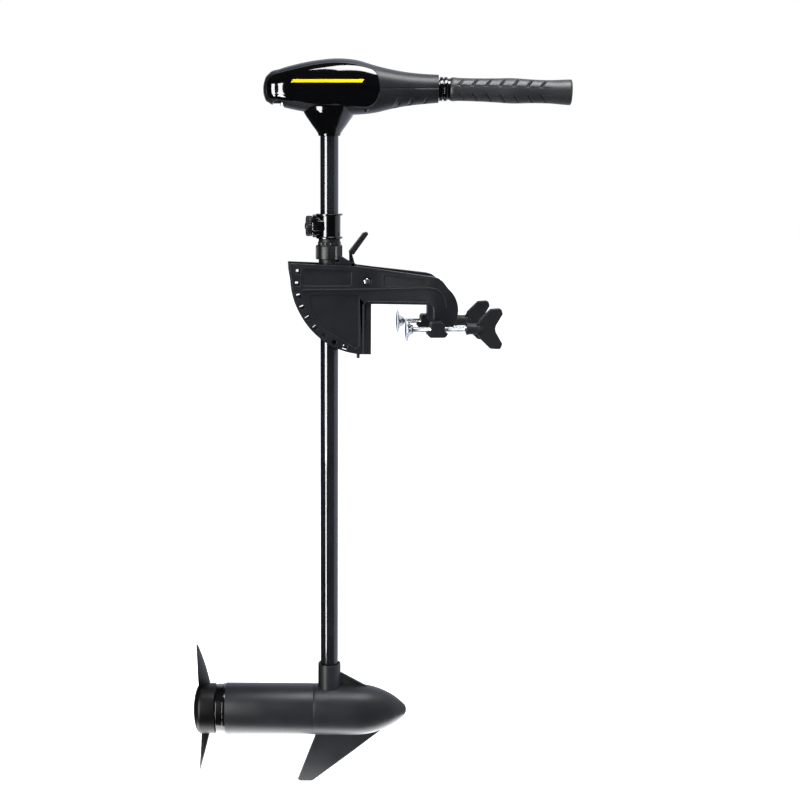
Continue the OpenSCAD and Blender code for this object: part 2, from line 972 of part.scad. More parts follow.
module propeller() {
    stations = 14;
    color("#1a1b1d")
    at_motor()
        difference() {
            union() {
                turned_x([[0, hub_x[0]], [14, hub_x[0] + 0.6], [28, hub_x[0] + 3], [36, hub_x[0] + 6.5],
                          [hub_r, hub_x[0] + 11], [hub_r, hub_x[1]], [0, hub_x[1]]]);
                for (turn = [4, 184])
                    rotate([turn, 0, 0])
                        skin([for (i = [0 : stations]) blade_ring(30 + (prop_d / 2 - 30) * i / stations)]);
            }
            turned_x([[axle_r + 6, hub_x[1] + 1], [axle_r + 6, hub_x[0] + 12], [35, hub_x[0] + 12],
                      [36, hub_x[1] + 1]]);
            rod_x(hub_x[0] - 1, 0, axle_r + fit);
            rod_x(hub_x[0] - 1, hub_x[0] + 9, 10);
            at_drive_pin(24, 2.5);
        }
}

module at_drive_pin(w, r) {
    translate([hub_x[1] - 3, 0, 0])
        rod_y(r, w);
}

module drive_pin() {
    color("#c9ccd0")
    at_motor()
        at_drive_pin(21, 2.4);
}

module prop_washer() {
    color("#c9ccd0")
    at_motor()
        tube_x(hub_x[0] + 7.6, hub_x[0] + 9, 9, axle_r + fit);
}

module prop_nut() {
    color("#c9ccd0")
    at_motor()
        difference() {
            translate([hub_x[0] + 1.6, 0, 0])
                rotate([0, 90, 0])
                    cylinder(h = 6, r = 8, $fn = 6);
            rod_x(hub_x[0], hub_x[0] + 9, axle_r);
        }
}

// ---- clamp ----
module at_screw(side) {
    translate([0, side * screw_y, screw_z]) children();
}

module clamp_pad(side) {
    r = pad_d / 2;
    color("#c4c8cc")
    at_screw(side)
        difference() {
            turned_x([[0, jaw_open], [r - 0.6, jaw_open], [r, jaw_open + 0.6], [r, jaw_open + 1.2],
                      [13, jaw_open + 3], [8.5, jaw_open + 6.2], [6.6, jaw_open + 10.6],
                      [0, jaw_open + 10.6]]);
            rod_x(jaw_open + pad_t, jaw_open + 12, screw_d / 2 + fit);
        }
}

module clamp_screw(side) {
    color("#b4b8bd")
    at_screw(side)
        rod_x(jaw_open + pad_t + 0.2, 168, screw_d / 2);
}

module wing(side) {
    color("#1c1d1f")
    at_screw(side)
        difference() {
            union() {
                turned_x([[0, 142.5], [8.6, 142.5], [9.2, 143.5], [8.4, 149], [8.4, 158], [9.6, 164],
                          [0, 172]]);
                side_plate(0, 11)
                    polygon(rounded([[158, 0, 0], [163, 14, 3], [180, 30.5, 3], [196, 31.5, 4],
                                     [198.5, 23, 3], [188, 5, 3], [187, 0, 1], [188, -5, 3],
                                     [198.5, -23, 3], [196, -31.5, 4], [180, -30.5, 3], [163, -14, 3]], 3));
            }
            rod_x(140, 168, screw_d / 2);
        }
}

module clamp_pad_near() { clamp_pad(-1); }
module clamp_pad_far() { clamp_pad(1); }
module clamp_screw_near() { clamp_screw(-1); }
module clamp_screw_far() { clamp_screw(1); }
module wing_near() { wing(-1); }
module wing_far() { wing(1); }

bracket_body();
tilt_pin();
tilt_pin_clip();
screw_inserts();
swivel_block();
swivel_bushings();
lever_pin();
lever_spring();
tension_nut();
release_lever();
lock_bar();
depth_collar();
collar_insert();
collar_knob();
knob_screw();
shaft_tube();
lead_wires();
head_base();
head_cover();
side_panel_near();
side_panel_far();
cable_gland();
head_screws();
speed_switch();
shaft_clip();
switch_rod();
tiller_tube();
tiller_ferrule();
grip_core();
grip_sleeve();
grip_cap();
motor_can();
nose_housing();
rear_bell();
field_magnets();
brush_plate();
brushes();
motor_bearings();
shaft_seal();
through_bolts();
armature();
commutator();
motor_shaft();
propeller();
drive_pin();
prop_washer();
prop_nut();
clamp_pad_near();
clamp_pad_far();
clamp_screw_near();
clamp_screw_far();
wing_near();
wing_far();
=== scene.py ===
"""Transom-mount electric trolling motor: its looks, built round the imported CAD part.

Shapes are worked out in millimetres in a local frame, and a Place turns them into metres.
"""

import json
import math

import bmesh
import bpy
import numpy as np
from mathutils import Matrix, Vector


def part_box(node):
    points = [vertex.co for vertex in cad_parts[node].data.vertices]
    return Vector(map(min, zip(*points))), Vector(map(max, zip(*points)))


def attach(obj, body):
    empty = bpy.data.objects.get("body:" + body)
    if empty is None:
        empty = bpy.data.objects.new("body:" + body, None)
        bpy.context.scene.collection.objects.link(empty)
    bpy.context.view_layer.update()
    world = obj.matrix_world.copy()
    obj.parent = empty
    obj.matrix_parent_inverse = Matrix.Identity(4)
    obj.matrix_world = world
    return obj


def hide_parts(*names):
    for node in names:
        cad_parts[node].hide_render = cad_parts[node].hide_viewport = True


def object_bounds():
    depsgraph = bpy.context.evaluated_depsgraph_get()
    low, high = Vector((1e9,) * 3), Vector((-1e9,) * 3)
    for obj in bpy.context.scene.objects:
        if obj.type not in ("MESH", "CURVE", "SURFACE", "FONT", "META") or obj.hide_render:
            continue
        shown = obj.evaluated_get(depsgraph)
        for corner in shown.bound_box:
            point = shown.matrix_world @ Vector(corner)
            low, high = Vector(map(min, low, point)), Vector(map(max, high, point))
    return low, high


bl_info = {
    "name": "Trolling Motor",
    "version": (1, 0, 0),
    "blender": (4, 5, 0),
    "location": "View3D > Sidebar > Trolling Motor",
    "description": "Builds the looks of a transom-mount trolling motor around its CAD frame",
    "category": "Object",
}

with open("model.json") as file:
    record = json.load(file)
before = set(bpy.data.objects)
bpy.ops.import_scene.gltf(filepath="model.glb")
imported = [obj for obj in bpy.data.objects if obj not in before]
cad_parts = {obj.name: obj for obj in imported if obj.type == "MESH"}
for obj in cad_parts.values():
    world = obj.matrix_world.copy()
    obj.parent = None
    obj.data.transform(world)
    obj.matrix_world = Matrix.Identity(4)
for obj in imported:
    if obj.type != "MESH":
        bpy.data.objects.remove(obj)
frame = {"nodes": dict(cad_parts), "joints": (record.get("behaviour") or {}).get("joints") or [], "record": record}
CAD_BOX = [list(corner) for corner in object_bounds()]
MM = 0.001
JOINTS = {joint["name"]: joint for joint in frame["joints"]}
SLOTS = {part["node"]: part["material_slot"] for part in frame["record"]["subparts"]}


# ---- places ----
def unit(v):
    return np.asarray(v, float) / np.linalg.norm(v)


def joint_at(name):
    """A joint's place, in millimetres."""
    return np.array(JOINTS[name]["pos_m"], float) / MM


def joint_axis(name):
    return unit(JOINTS[name]["axis"])


def box_mm(node):
    """A CAD node's lowest and highest corner, in millimetres."""
    return tuple(np.array(corner, float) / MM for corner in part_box(node))


class Place:
    """A local frame: an origin in millimetres, an X axis, and a Z axis as near to upright as that allows."""

    def __init__(self, origin, x_axis=(1, 0, 0), side=(0, 0, 1)):
        x = unit(x_axis)
        y = unit(np.cross(side, x))
        self.axes = np.stack([x, y, np.cross(x, y)])
        self.origin = np.asarray(origin, float)

    def __call__(self, points):
        """Local millimetres to metres in the row frame."""
        return (self.origin + points @ self.axes) * MM


SHAFT_AT = joint_at("steer") * [1, 1, 0]
TILLER_AXIS = joint_axis("tiller_slide")
FORWARD = unit(TILLER_AXIS * [1, 1, 0])
GRIP_REACH = (joint_at("grip_twist") - SHAFT_AT) @ FORWARD / (TILLER_AXIS @ FORWARD)
TILLER_AT = joint_at("grip_twist") - TILLER_AXIS * GRIP_REACH

HULL = Place((0, 0, 0))
STEER = Place(SHAFT_AT, FORWARD)
MOTOR = Place(SHAFT_AT + [0, 0, joint_at("propeller_spin")[2]], FORWARD)
TILLER = Place(TILLER_AT, TILLER_AXIS)
KNOB = Place(SHAFT_AT + [0, 0, joint_at("collar_knob_turn")[2]], FORWARD)
PIVOT = Place(joint_at("tilt") * [1, 0, 1], (0, 1, 0), (0, 0, 1))
SCREWS = {
    "near": Place(joint_at("screw_near_turn") * [0, 1, 1]),
    "far": Place(joint_at("screw_far_turn") * [0, 1, 1]),
}


# ---- surfaces ----
class Grid:
    """A grid of points, with shape (rows, columns, 3), and whether its rows and columns close on themselves.
    ends are the rows, first 0 or last -1, that a flat face closes."""

    def __init__(self, points, wrap_rows=False, wrap_columns=False, ends=(), finish=0):
        self.points, self.wrap = points, (wrap_rows, wrap_columns)
        self.ends, self.finish = ends, finish

    def faces(self, first):
        """Each point makes a quad with its next neighbour along both directions."""
        rows, columns = self.points.shape[:2]
        i, j = np.meshgrid(
            np.arange(rows - (not self.wrap[0])),
            np.arange(columns - (not self.wrap[1])),
            indexing="ij",
        )
        down, across = (i + 1) % rows, (j + 1) % columns
        corners = [i * columns + j, down * columns + j, down * columns + across, i * columns + across]
        found = (first + np.stack(corners, -1).reshape(-1, 4)).tolist()
        for end in self.ends:
            row = rows - 1 if end else 0
            found.append((first + row * columns + np.arange(columns)).tolist())
        return found


def make_piece(name, grids, place, finishes, sharp=30):
    """One mesh from grids, welded where they meet, with its faces turned outwards."""
    points, faces, index = [], [], []
    first = 0
    for grid in grids:
        flat = grid.points.reshape(-1, 3)
        new = grid.faces(first)
        points.append(flat)
        faces += new
        index += [grid.finish] * len(new)
        first += len(flat)
    mesh = bpy.data.meshes.new(name)
    mesh.from_pydata(place(np.concatenate(points)), [], faces)
    mesh.polygons.foreach_set("material_index", index)
    return as_piece(name, mesh, finishes, sharp)


def as_piece(name, mesh, finishes, sharp):
    """Welds a mesh, turns its faces outwards, smooths all but its sharp edges and makes an object of it."""
    work = bmesh.new()
    work.from_mesh(mesh)
    bmesh.ops.remove_doubles(work, verts=work.verts, dist=2e-6)
    bmesh.ops.dissolve_degenerate(work, dist=1e-7, edges=work.edges)
    bmesh.ops.recalc_face_normals(work, faces=work.faces)
    work.to_mesh(mesh)
    work.free()
    mesh.shade_smooth()
    mesh.set_sharp_from_angle(angle=math.radians(sharp))
    for finish in finishes:
        mesh.materials.append(finish_of(finish))
    piece = bpy.data.objects.new(name, mesh)
    bpy.context.scene.collection.objects.link(piece)
    return piece


def stand_for(piece, body, slot, *nodes):
    """The piece rides on its body and stands for its CAD nodes."""
    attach(piece, body)
    if nodes:
        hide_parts(*nodes)
    return piece


def eased(corners, steps=5, closed=False):
    """A line through corners (u, v, ease): a parabola cuts each corner from ease before it to ease after."""
    corners = np.asarray(corners, float)
    here, ease = corners[:, None, :2], corners[:, None, 2:]
    before, after = np.roll(here, 1, 0), np.roll(here, -1, 0)
    share = np.linspace(0, 1, steps)[None, :, None]
    start = here + (before - here) / np.linalg.norm(before - here, axis=-1, keepdims=True).clip(1e-9) * ease
    finish = here + (after - here) / np.linalg.norm(after - here, axis=-1, keepdims=True).clip(1e-9) * ease
    curve = (1 - share) ** 2 * start + 2 * share * (1 - share) * here + share**2 * finish
    if closed:
        return curve.reshape(-1, 2)
    return np.concatenate([here[0], curve[1:-1].reshape(-1, 2), here[-1]])


def turned(profile, sides=96, ring=False, upright=False, finish=0):
    """A profile (along, radius) carried round an axis: at angle a its point is (along, r sin a, r cos a)."""
    a = np.linspace(0, 2 * np.pi, sides, endpoint=False)
    along = np.broadcast_to(profile[:, :1], (len(profile), sides))
    points = np.stack([along, profile[:, 1:] * np.sin(a), profile[:, 1:] * np.cos(a)], -1)
    if upright:
        points = points[..., [2, 1, 0]]
    return Grid(points, ring, True, finish=finish)


def inset_outline(outline, by):
    """A closed outline moved inwards: each corner goes along its mitre, the mean of its sides' normals."""
    after = np.roll(outline, -1, 0)
    side = after - outline
    normal = np.stack([-side[:, 1], side[:, 0]], -1) / np.linalg.norm(side, axis=1, keepdims=True).clip(1e-9)
    area = np.sum(outline[:, 0] * after[:, 1] - after[:, 0] * outline[:, 1])
    mean = (normal + np.roll(normal, 1, 0)) * np.sign(area)
    return outline + by * 2 * mean / np.sum(mean**2, 1, keepdims=True).clip(0.6)


def plate(outline, middle, thickness, edge, steps=5, finish=0):
    """A side-view outline (x, z) given thickness along Y, with a quarter-circle edge on both faces."""
    turn = np.linspace(0, np.pi / 2, steps)
    inset = np.concatenate([[edge + 0.4], edge * (1 - np.sin(turn))])
    depth = np.concatenate([[thickness / 2], thickness / 2 - edge * (1 - np.cos(turn))])
    inset = np.concatenate([inset, inset[::-1]])
    depth = np.concatenate([-depth, depth[::-1]])
    rings = []
    for by, y in zip(inset, depth):
        ring = inset_outline(outline, by)
        rings.append(np.stack([ring[:, 0], np.full(len(ring), middle + y), ring[:, 1]], -1))
    return Grid(np.stack(rings), False, True, (0, -1), finish)


def softened(node, width, name, sharp=30):
    """A copy of a CAD node, welded, its flat faces joined again, with a bevel along its sharp edges."""
    source = frame["nodes"][node].data
    points = np.empty(len(source.vertices) * 3, np.float32)
    source.vertices.foreach_get("co", points)
    corners = np.empty(len(source.loops), np.int32)
    source.loops.foreach_get("vertex_index", corners)
    mesh = bpy.data.meshes.new(name)
    mesh.from_pydata(points.reshape(-1, 3), [], corners.reshape(-1, 3).tolist())
    work = bmesh.new()
    work.from_mesh(mesh)
    bmesh.ops.remove_doubles(work, verts=work.verts, dist=2e-6)
    bmesh.ops.dissolve_limit(work, angle_limit=math.radians(0.6), verts=work.verts, edges=work.edges)
    work.to_mesh(mesh)
    work.free()
    mesh.shade_smooth()
    mesh.materials.append(finish_of(SLOTS[node]))
    piece = bpy.data.objects.new(name, mesh)
    bpy.context.scene.collection.objects.link(piece)
    bevel = piece.modifiers.new("eased edges", "BEVEL")
    bevel.width = width * MM
    bevel.segments = 2
    bevel.limit_method = "ANGLE"
    bevel.angle_limit = math.radians(sharp)
    bevel.use_clamp_overlap = False
    bevel.harden_normals = True
    return piece


def smooth_step(low, high, value):
    """0 below low, 1 above high, and 3 s^2 - 2 s^3 between."""
    s = np.clip((value - low) / (high - low), 0, 1)
    return s * s * (3 - 2 * s)


def through(stations, values, x):
    """A cubic Hermite curve through the stations, whose slope at each is that of its neighbours."""
    stations, values = np.asarray(stations, float), np.asarray(values, float)
    slope = np.gradient(values, stations)
    i = np.clip(np.searchsorted(stations, x) - 1, 0, len(stations) - 2)
    width = stations[i + 1] - stations[i]
    s = np.clip((x - stations[i]) / width, 0, 1)
    return (
        (2 * s**3 - 3 * s**2 + 1) * values[i]
        + (s**3 - 2 * s**2 + s) * width * slope[i]
        + (3 * s**2 - 2 * s**3) * values[i + 1]
        + (s**3 - s**2) * width * slope[i + 1]
    )


# ---- shader maths ----
class Wire:
    """An output socket, so that shader maths reads as Python: an expression on it adds its Math nodes."""

    def __init__(self, graph, socket):
        self.graph, self.socket = graph, socket

    def maths(self, operation, *values):
        return self.graph.node("ShaderNodeMath", {"operation": operation}, dict(enumerate(values)))

    def __add__(self, other):
        return self.maths("ADD", self, other)

    def __radd__(self, other):
        return self.maths("ADD", other, self)

    def __sub__(self, other):
        return self.maths("SUBTRACT", self, other)

    def __rsub__(self, other):
        return self.maths("SUBTRACT", other, self)

    def __mul__(self, other):
        return self.maths("MULTIPLY", self, other)

    def __rmul__(self, other):
        return self.maths("MULTIPLY", other, self)


class Graph:
    """A node tree and its nodes; node() adds any of them."""

    def __init__(self, tree):
        self.tree = tree

    def node(self, kind, settings=None, inputs=None, out=0):
        """Adds a node, makes its settings, joins or fills its sockets, and gives back one of its outputs."""
        made = self.tree.nodes.new(kind)
        for key, value in (settings or {}).items():
            setattr(made, key, value)
        for key, value in (inputs or {}).items():
            self.join(made.inputs[key], value)
        return Wire(self, made.outputs[out])

    def join(self, socket, value):
        if isinstance(value, Wire):
            self.tree.links.new(value.socket, socket)
        else:
            socket.default_value = value

    def noise(self, where, scale, detail=3.0, roughness=0.5):
        """Values about 0.5."""
        return self.node(
            "ShaderNodeTexNoise",
            None,
            {"Vector": where, "Scale": scale, "Detail": detail, "Roughness": roughness},
        )

    def between(self, value, low, high, to_low=0.0, to_high=1.0):
        return self.node(
            "ShaderNodeMapRange",
            {"interpolation_type": "SMOOTHSTEP"},
            {"Value": value, "From Min": low, "From Max": high, "To Min": to_low, "To Max": to_high},
        )

    def mix(self, factor, first, second):
        return self.node("ShaderNodeMix", {"data_type": "RGBA"}, {0: factor, 6: first, 7: second}, 2)

    def stretched(self, where, scale, turn=(0.0, 0.0, 0.0)):
        return self.node("ShaderNodeMapping", None, {"Vector": where, "Scale": scale, "Rotation": turn})


def shade(colour, by):
    return tuple(min(1.0, c * by) for c in colour[:3]) + (1.0,)


def new_finish(name, constants):
    """A material, its graph, shader and Object coordinates. Constants are set on the shader's own sockets."""
    material = bpy.data.materials.new(name)
    material.use_nodes = True
    graph = Graph(material.node_tree)
    shader = material.node_tree.nodes["Principled BSDF"]
    for key, value in constants.items():
        shader.inputs[key].default_value = value
    where = graph.node("ShaderNodeTexCoord", out="Object")
    return material, graph, shader, where


def moulded(name, colour, rough, grain=900.0, depth=0.00012, wear=0.5, mottle=0.12, **constants):
    """Moulded plastic, rubber or paint: fine grain, faint mottling, scuffs, and lighter wear on its edges."""
    material, graph, shader, where = new_finish(name, {"Specular IOR Level": 0.25, **constants})
    patch = graph.noise(where, 28.0, 4.0)
    scuff_at = graph.stretched(where, (60.0, 60.0, 420.0), (0.3, 0.5, 0.2))
    scuff = graph.between(graph.noise(scuff_at, 1.0, 5.0, 0.65), 0.6, 0.74)
    edge = graph.node("ShaderNodeNewGeometry", out="Pointiness")
    worn = graph.between(edge + (patch - 0.5) * 0.04, 0.53, 0.62) * wear
    tone = graph.mix(graph.between(patch, 0.3, 0.7), shade(colour, 1 - mottle), shade(colour, 1 + mottle))
    tone = graph.mix(worn * 0.6 + scuff * 0.12, tone, shade(colour, 2.6))
    graph.join(shader.inputs["Base Color"], tone)
    graph.join(shader.inputs["Roughness"], (patch - 0.5) * 0.12 + scuff * 0.08 + rough)
    fine = graph.noise(where, grain, 2.0, 0.6)
    bump = graph.node("ShaderNodeBump", None, {"Strength": 0.6, "Distance": depth, "Height": fine})
    graph.join(shader.inputs["Normal"], bump)
    return material


def glossed(name, colour, rough, streak=(1.0, 1.0, 1.0)):
    """Polished plastic or clear-coated tube: faint orange-peel, hairline scratches and a little dust."""
    material, graph, shader, where = new_finish(name, {})
    haze = graph.noise(where, 18.0, 4.0)
    hair = graph.between(graph.noise(graph.stretched(where, streak), 260.0, 6.0, 0.7), 0.6, 0.76)
    dust = graph.between(graph.noise(where, 1500.0, 1.0), 0.7, 0.8)
    tone = graph.mix(graph.between(haze, 0.3, 0.7), shade(colour, 0.85), shade(colour, 1.2))
    graph.join(shader.inputs["Base Color"], graph.mix(dust * 0.05, tone, (0.2, 0.2, 0.2, 1)))
    graph.join(shader.inputs["Roughness"], (haze - 0.5) * 0.04 + hair * 0.07 + rough)
    peel = graph.noise(where, 120.0, 2.0)
    bump = graph.node("ShaderNodeBump", None, {"Strength": 0.5, "Distance": 0.00004, "Height": peel})
    graph.join(shader.inputs["Normal"], bump)
    return material


def metal(name, colour, rough, scale=700.0, tarnish=0.25):
    """Turned or plated metal: fine marks and duller patches."""
    material, graph, shader, where = new_finish(name, {"Metallic": 1.0})
    marks = graph.noise(where, scale, 3.0, 0.6)
    patch = graph.noise(where, 60.0, 4.0, 0.6)
    dull = graph.between(patch, 0.45, 0.75) * tarnish
    tone = graph.mix(dull, shade(colour, 1.0), shade(colour, 0.55))
    graph.join(shader.inputs["Base Color"], graph.mix((marks - 0.5) * 0.3, tone, shade(colour, 1.15)))
    graph.join(shader.inputs["Roughness"], (marks - 0.5) * 0.14 + dull * 0.25 + rough)
    bump = graph.node("ShaderNodeBump", None, {"Strength": 0.4, "Distance": 0.00005, "Height": marks})
    graph.join(shader.inputs["Normal"], bump)
    return material


def wound(name, colour, rough):
    """Enamelled copper: close turns of wire along the motor's axis."""
    material, graph, shader, where = new_finish(name, {"Metallic": 0.8})
    turns = graph.node(
        "ShaderNodeTexWave", {"bands_direction": "X"}, {"Vector": where, "Scale": 260.0, "Distortion": 1.5}
    )
    graph.join(shader.inputs["Base Color"], graph.mix(turns, shade(colour, 0.45), shade(colour, 1.1)))
    graph.join(shader.inputs["Roughness"], turns * 0.15 + rough)
    bump = graph.node("ShaderNodeBump", None, {"Strength": 0.6, "Distance": 0.0003, "Height": turns})
    graph.join(shader.inputs["Normal"], bump)
    return material


FINISHES = {
    "bracket_plastic": (moulded, "frame", 0.42, {"grain": 1100.0, "Specular IOR Level": 0.16}),
    "control_plastic": (moulded, "control", 0.4, {"grain": 1100.0, "depth": 0.00006}),
    "wing_plastic": (moulded, "control", 0.5, {"grain": 1300.0}),
    "head_plastic": (moulded, "head", 0.4, {"grain": 1200.0, "depth": 0.0001}),
    "neck_gloss": (glossed, "gloss", 0.1, {}),
    "panel_gloss": (glossed, "gloss", 0.06, {}),
    "collar_gloss": (glossed, "gloss", 0.14, {}),
    "shaft_composite": (glossed, "tube", 0.09, {"streak": (1.0, 1.0, 0.04)}),
    "tiller_gloss": (glossed, "gloss", 0.12, {}),
    "grip_rubber": (
        moulded, "grip", 0.44, {"grain": 1600.0, "depth": 0.0001, "wear": 0.3, "Specular IOR Level": 0.4}
    ),
    "grip_plastic": (moulded, "grip", 0.42, {"grain": 1200.0}),
    "motor_paint": (moulded, "paint", 0.4, {"grain": 1500.0, "depth": 0.00007, "wear": 0.35}),
    "bell_paint": (glossed, "gloss", 0.18, {}),
    "prop_plastic": (moulded, "gloss", 0.42, {"grain": 1300.0, "depth": 0.00008, "Specular IOR Level": 0.14}),
    "stainless": (metal, "steel", 0.25, {"scale": 900.0}),
    "zinc_steel": (metal, "zinc", 0.3, {"scale": 500.0}),
    "pad_plating": (metal, "zinc", 0.14, {"scale": 300.0, "tarnish": 0.1}),
    "brass": (metal, "brass", 0.3, {}),
    "nylon": (moulded, "nylon", 0.5, {"wear": 0.0}),
    "wire_jacket": (moulded, "jacket", 0.45, {"wear": 0.0}),
    "switch_body": (moulded, "phenolic", 0.5, {"wear": 0.1, "mottle": 0.25}),
    "magnet": (moulded, "magnet", 0.55, {"wear": 0.1, "mottle": 0.3}),
    "winding": (wound, "copper", 0.35, {}),
    "seal_rubber": (moulded, "rubber", 0.6, {"wear": 0.0}),
    "accent": (moulded, "accent", 0.35, {"grain": 700.0, "depth": 0.00003, "wear": 0.0, "mottle": 0.05}),
}
made_finishes = {}


def finish_of(slot):
    """The material of a slot, made the first time that it is asked for."""
    if slot not in made_finishes:
        maker, colour, rough, rest = FINISHES[slot]
        made_finishes[slot] = maker(slot, tuple(getattr(colours(), colour)), rough, **rest)
    return made_finishes[slot]


def colours():
    return bpy.context.scene.trolling_colours


def sizes():
    return bpy.context.scene.trolling_sizes


# ---- settings ----
def colour_property(name, description, default):
    return bpy.props.FloatVectorProperty(
        name=name, description=description, default=default, size=3, min=0, max=1, subtype="COLOR"
    )


def length_property(name, description, default_mm):
    return bpy.props.FloatProperty(
        name=name, description=description, default=default_mm * MM, min=0, unit="LENGTH", subtype="DISTANCE"
    )


class TrollingColours(bpy.types.PropertyGroup):
    """Colours of the motor's finishes."""

    frame: colour_property("Bracket", "Moulded bracket and swivel", (0.0112, 0.0121, 0.0148))
    control: colour_property("Controls", "Knobs, nut, lever, wings and propeller", (0.0085, 0.009, 0.0107))
    head: colour_property("Head", "Satin shells of the head", (0.0105, 0.0112, 0.0135))
    gloss: colour_property("Gloss black", "Panels, neck, collar and tiller", (0.0014, 0.0014, 0.0018))
    tube: colour_property("Shaft", "Composite tube", (0.011, 0.0122, 0.0155))
    grip: colour_property("Grip", "Rubber of the grip", (0.0165, 0.0173, 0.02))
    paint: colour_property("Motor paint", "Satin paint of the motor", (0.015, 0.0162, 0.0192))
    accent: colour_property("Accent", "Plain stripe on the panels", (0.87, 0.62, 0.0))
    steel: colour_property("Stainless steel", "Pins, bolts and screws", (0.56, 0.57, 0.58))
    zinc: colour_property("Plated steel", "Clamp screws, pads, lock bar and spring", (0.5, 0.52, 0.54))
    brass: colour_property("Brass", "Threaded inserts", (0.62, 0.44, 0.18))
    copper: colour_property("Copper", "Windings and commutator", (0.55, 0.22, 0.08))
    nylon: colour_property("Nylon", "Bushings", (0.72, 0.68, 0.58))
    jacket: colour_property("Wire jacket", "Motor leads", (0.08, 0.01, 0.01))
    phenolic: colour_property("Phenolic", "Switch body and brush plate", (0.35, 0.27, 0.17))
    magnet: colour_property("Ferrite", "Magnets and brushes", (0.05, 0.05, 0.055))
    rubber: colour_property("Seal rubber", "Shaft seal", (0.006, 0.006, 0.006))


class TrollingSizes(bpy.types.PropertyGroup):
    """Sizes of the surfaces that stand round the CAD frame."""

    edge: length_property("Edge radius", "Rounding of moulded edges", 0.7)
    wing_edge: length_property("Wing edge", "Rounding of the wings' edges", 1.6)
    shaft_radius: length_property("Shaft radius", "Outer radius of the shaft tube", 14)
    motor_radius: length_property("Motor radius", "Outer radius of the motor", 41.3)
    head_width: length_property("Head width", "Width of the head at its widest", 86)
    panel_proud: length_property("Panel height", "How far the gloss panels stand out", 0.9)
    groove_depth: length_property("Grip groove", "Depth of the slots in the grip", 2.4)
    thread_pitch: length_property("Thread pitch", "Pitch of the clamp screws", 2)
    floor_gap: length_property("Floor gap", "Air between the skeg and the floor", 14)


# ---- head ----
# Stations of the head: x, top, bottom, half width as a share of the widest, and squareness
HEAD = np.array([
    (-99.5, 333, 317, 0.30, 2.0), (-97.5, 340, 311, 0.50, 2.1), (-91, 348.8, 304.5, 0.70, 2.3),
    (-74, 355.6, 299.5, 0.86, 2.4), (-45, 363.5, 293, 0.97, 2.5), (-15, 368.8, 289.3, 1.0, 2.5),
    (15, 371, 287.5, 1.0, 2.5), (42, 368.3, 287.3, 0.95, 2.5), (70, 360.3, 290.2, 0.84, 2.4),
    (97, 354, 296.5, 0.72, 2.3), (117, 350.6, 300, 0.63, 2.2), (137, 348.4, 302.4, 0.56, 2.1),
    (165, 346.8, 304.8, 0.49, 2.0),
])
SPLIT_Z = 326
SPLIT_GAP = 0.15
SHELL_WALL = 3
SOCKET_END = 165
# The cable scoop's place along the head, the height of its middle and its radius
SCOOP = (-78, 300, 8.6)
SCREW_SPOTS = ((-70, 24), (-70, -24), (56, 24), (56, -24))
SCREW_PIT_RADIUS = 3.9
SCREW_PIT_ROOF = 302.9
# The three recesses under the tiller's socket: middle and half width
NOTCHES = ((103, 4.5), (122, 3.2), (144, 2.6))
NOTCH_DEPTH = 1.8
CRADLE_RADIUS = 14.35
# The neck's radius at each height above its foot
NECK_HEIGHTS = (0, 3, 8, 14.5, 22, 29, 36, 44)
NECK_RADII = (16.7, 17.3, 20.3, 25.2, 30.5, 35.4, 39.3, 41.5)


def head_shape(x):
    """Middle height, half height, half width and squareness of the head's section at x."""
    top, low, share, square = (through(HEAD[:, 0], HEAD[:, k], x) for k in (1, 2, 3, 4))
    return (top + low) / 2, (top - low) / 2, sizes().head_width / MM / 2 * share, square


def head_point(x, t, inset):
    """A superellipse's point at angle t: y = w cos^(2/p) t, z = middle + h sin^(2/p) t, signs kept."""
    middle, up, wide, square = head_shape(x)
    c, s = np.cos(t), np.sin(t)
    y = (wide - inset) * np.sign(c) * np.abs(c) ** (2 / square)
    z = middle + (up - inset) * np.sign(s) * np.abs(s) ** (2 / square)
    return np.stack([x + 0 * y, y, z], -1)


def head_side(x, z, out):
    """Half width of the head's skin at a height, with the skin moved out: y = w (1 - |v|^p)^(1/p)."""
    middle, up, wide, square = head_shape(x)
    v = np.clip(np.abs(z - middle) / (up + out), 0, 0.9999)
    return (wide + out) * (1 - v**square) ** (1 / square)


def lip_to_lip(start, upper, count):
    """Angles over the top from start to pi - start, or under the bottom from pi - start to 2 pi + start."""
    share = np.linspace(0, 1, count)[None, :]
    if upper:
        return start + (np.pi - 2 * start) * share
    return np.pi - start + (np.pi + 2 * start) * share


def shell_angles(x, level, upper, count):
    """Angles from one lip of a half shell to the other, where the section meets the level."""
    middle, up, _, square = head_shape(x)
    s = np.clip((level - middle) / up, -0.98, 0.98)
    return lip_to_lip(np.arcsin(np.sign(s) * np.abs(s) ** (square / 2)), upper, count)


def scoop_roof(x):
    """Height of the cable scoop's roof: an arc across the head's underside."""
    return SCOOP[1] + np.sqrt(np.clip(SCOOP[2] ** 2 - (x - SCOOP[0]) ** 2, 0, None))


def socket_notches(points):
    """Three slanted recesses under the tiller's socket: each is a smooth trough across a slanted line."""
    x, y, z = (points[..., k] for k in range(3))
    depth = 0 * x
    for middle, half in NOTCHES:
        along = x - middle - (z - 304) * 0.5
        depth = depth + smooth_step(half, half - 1.6, np.abs(along))
    return depth * smooth_step(313, 310, z) * smooth_step(2, 5, np.abs(y))


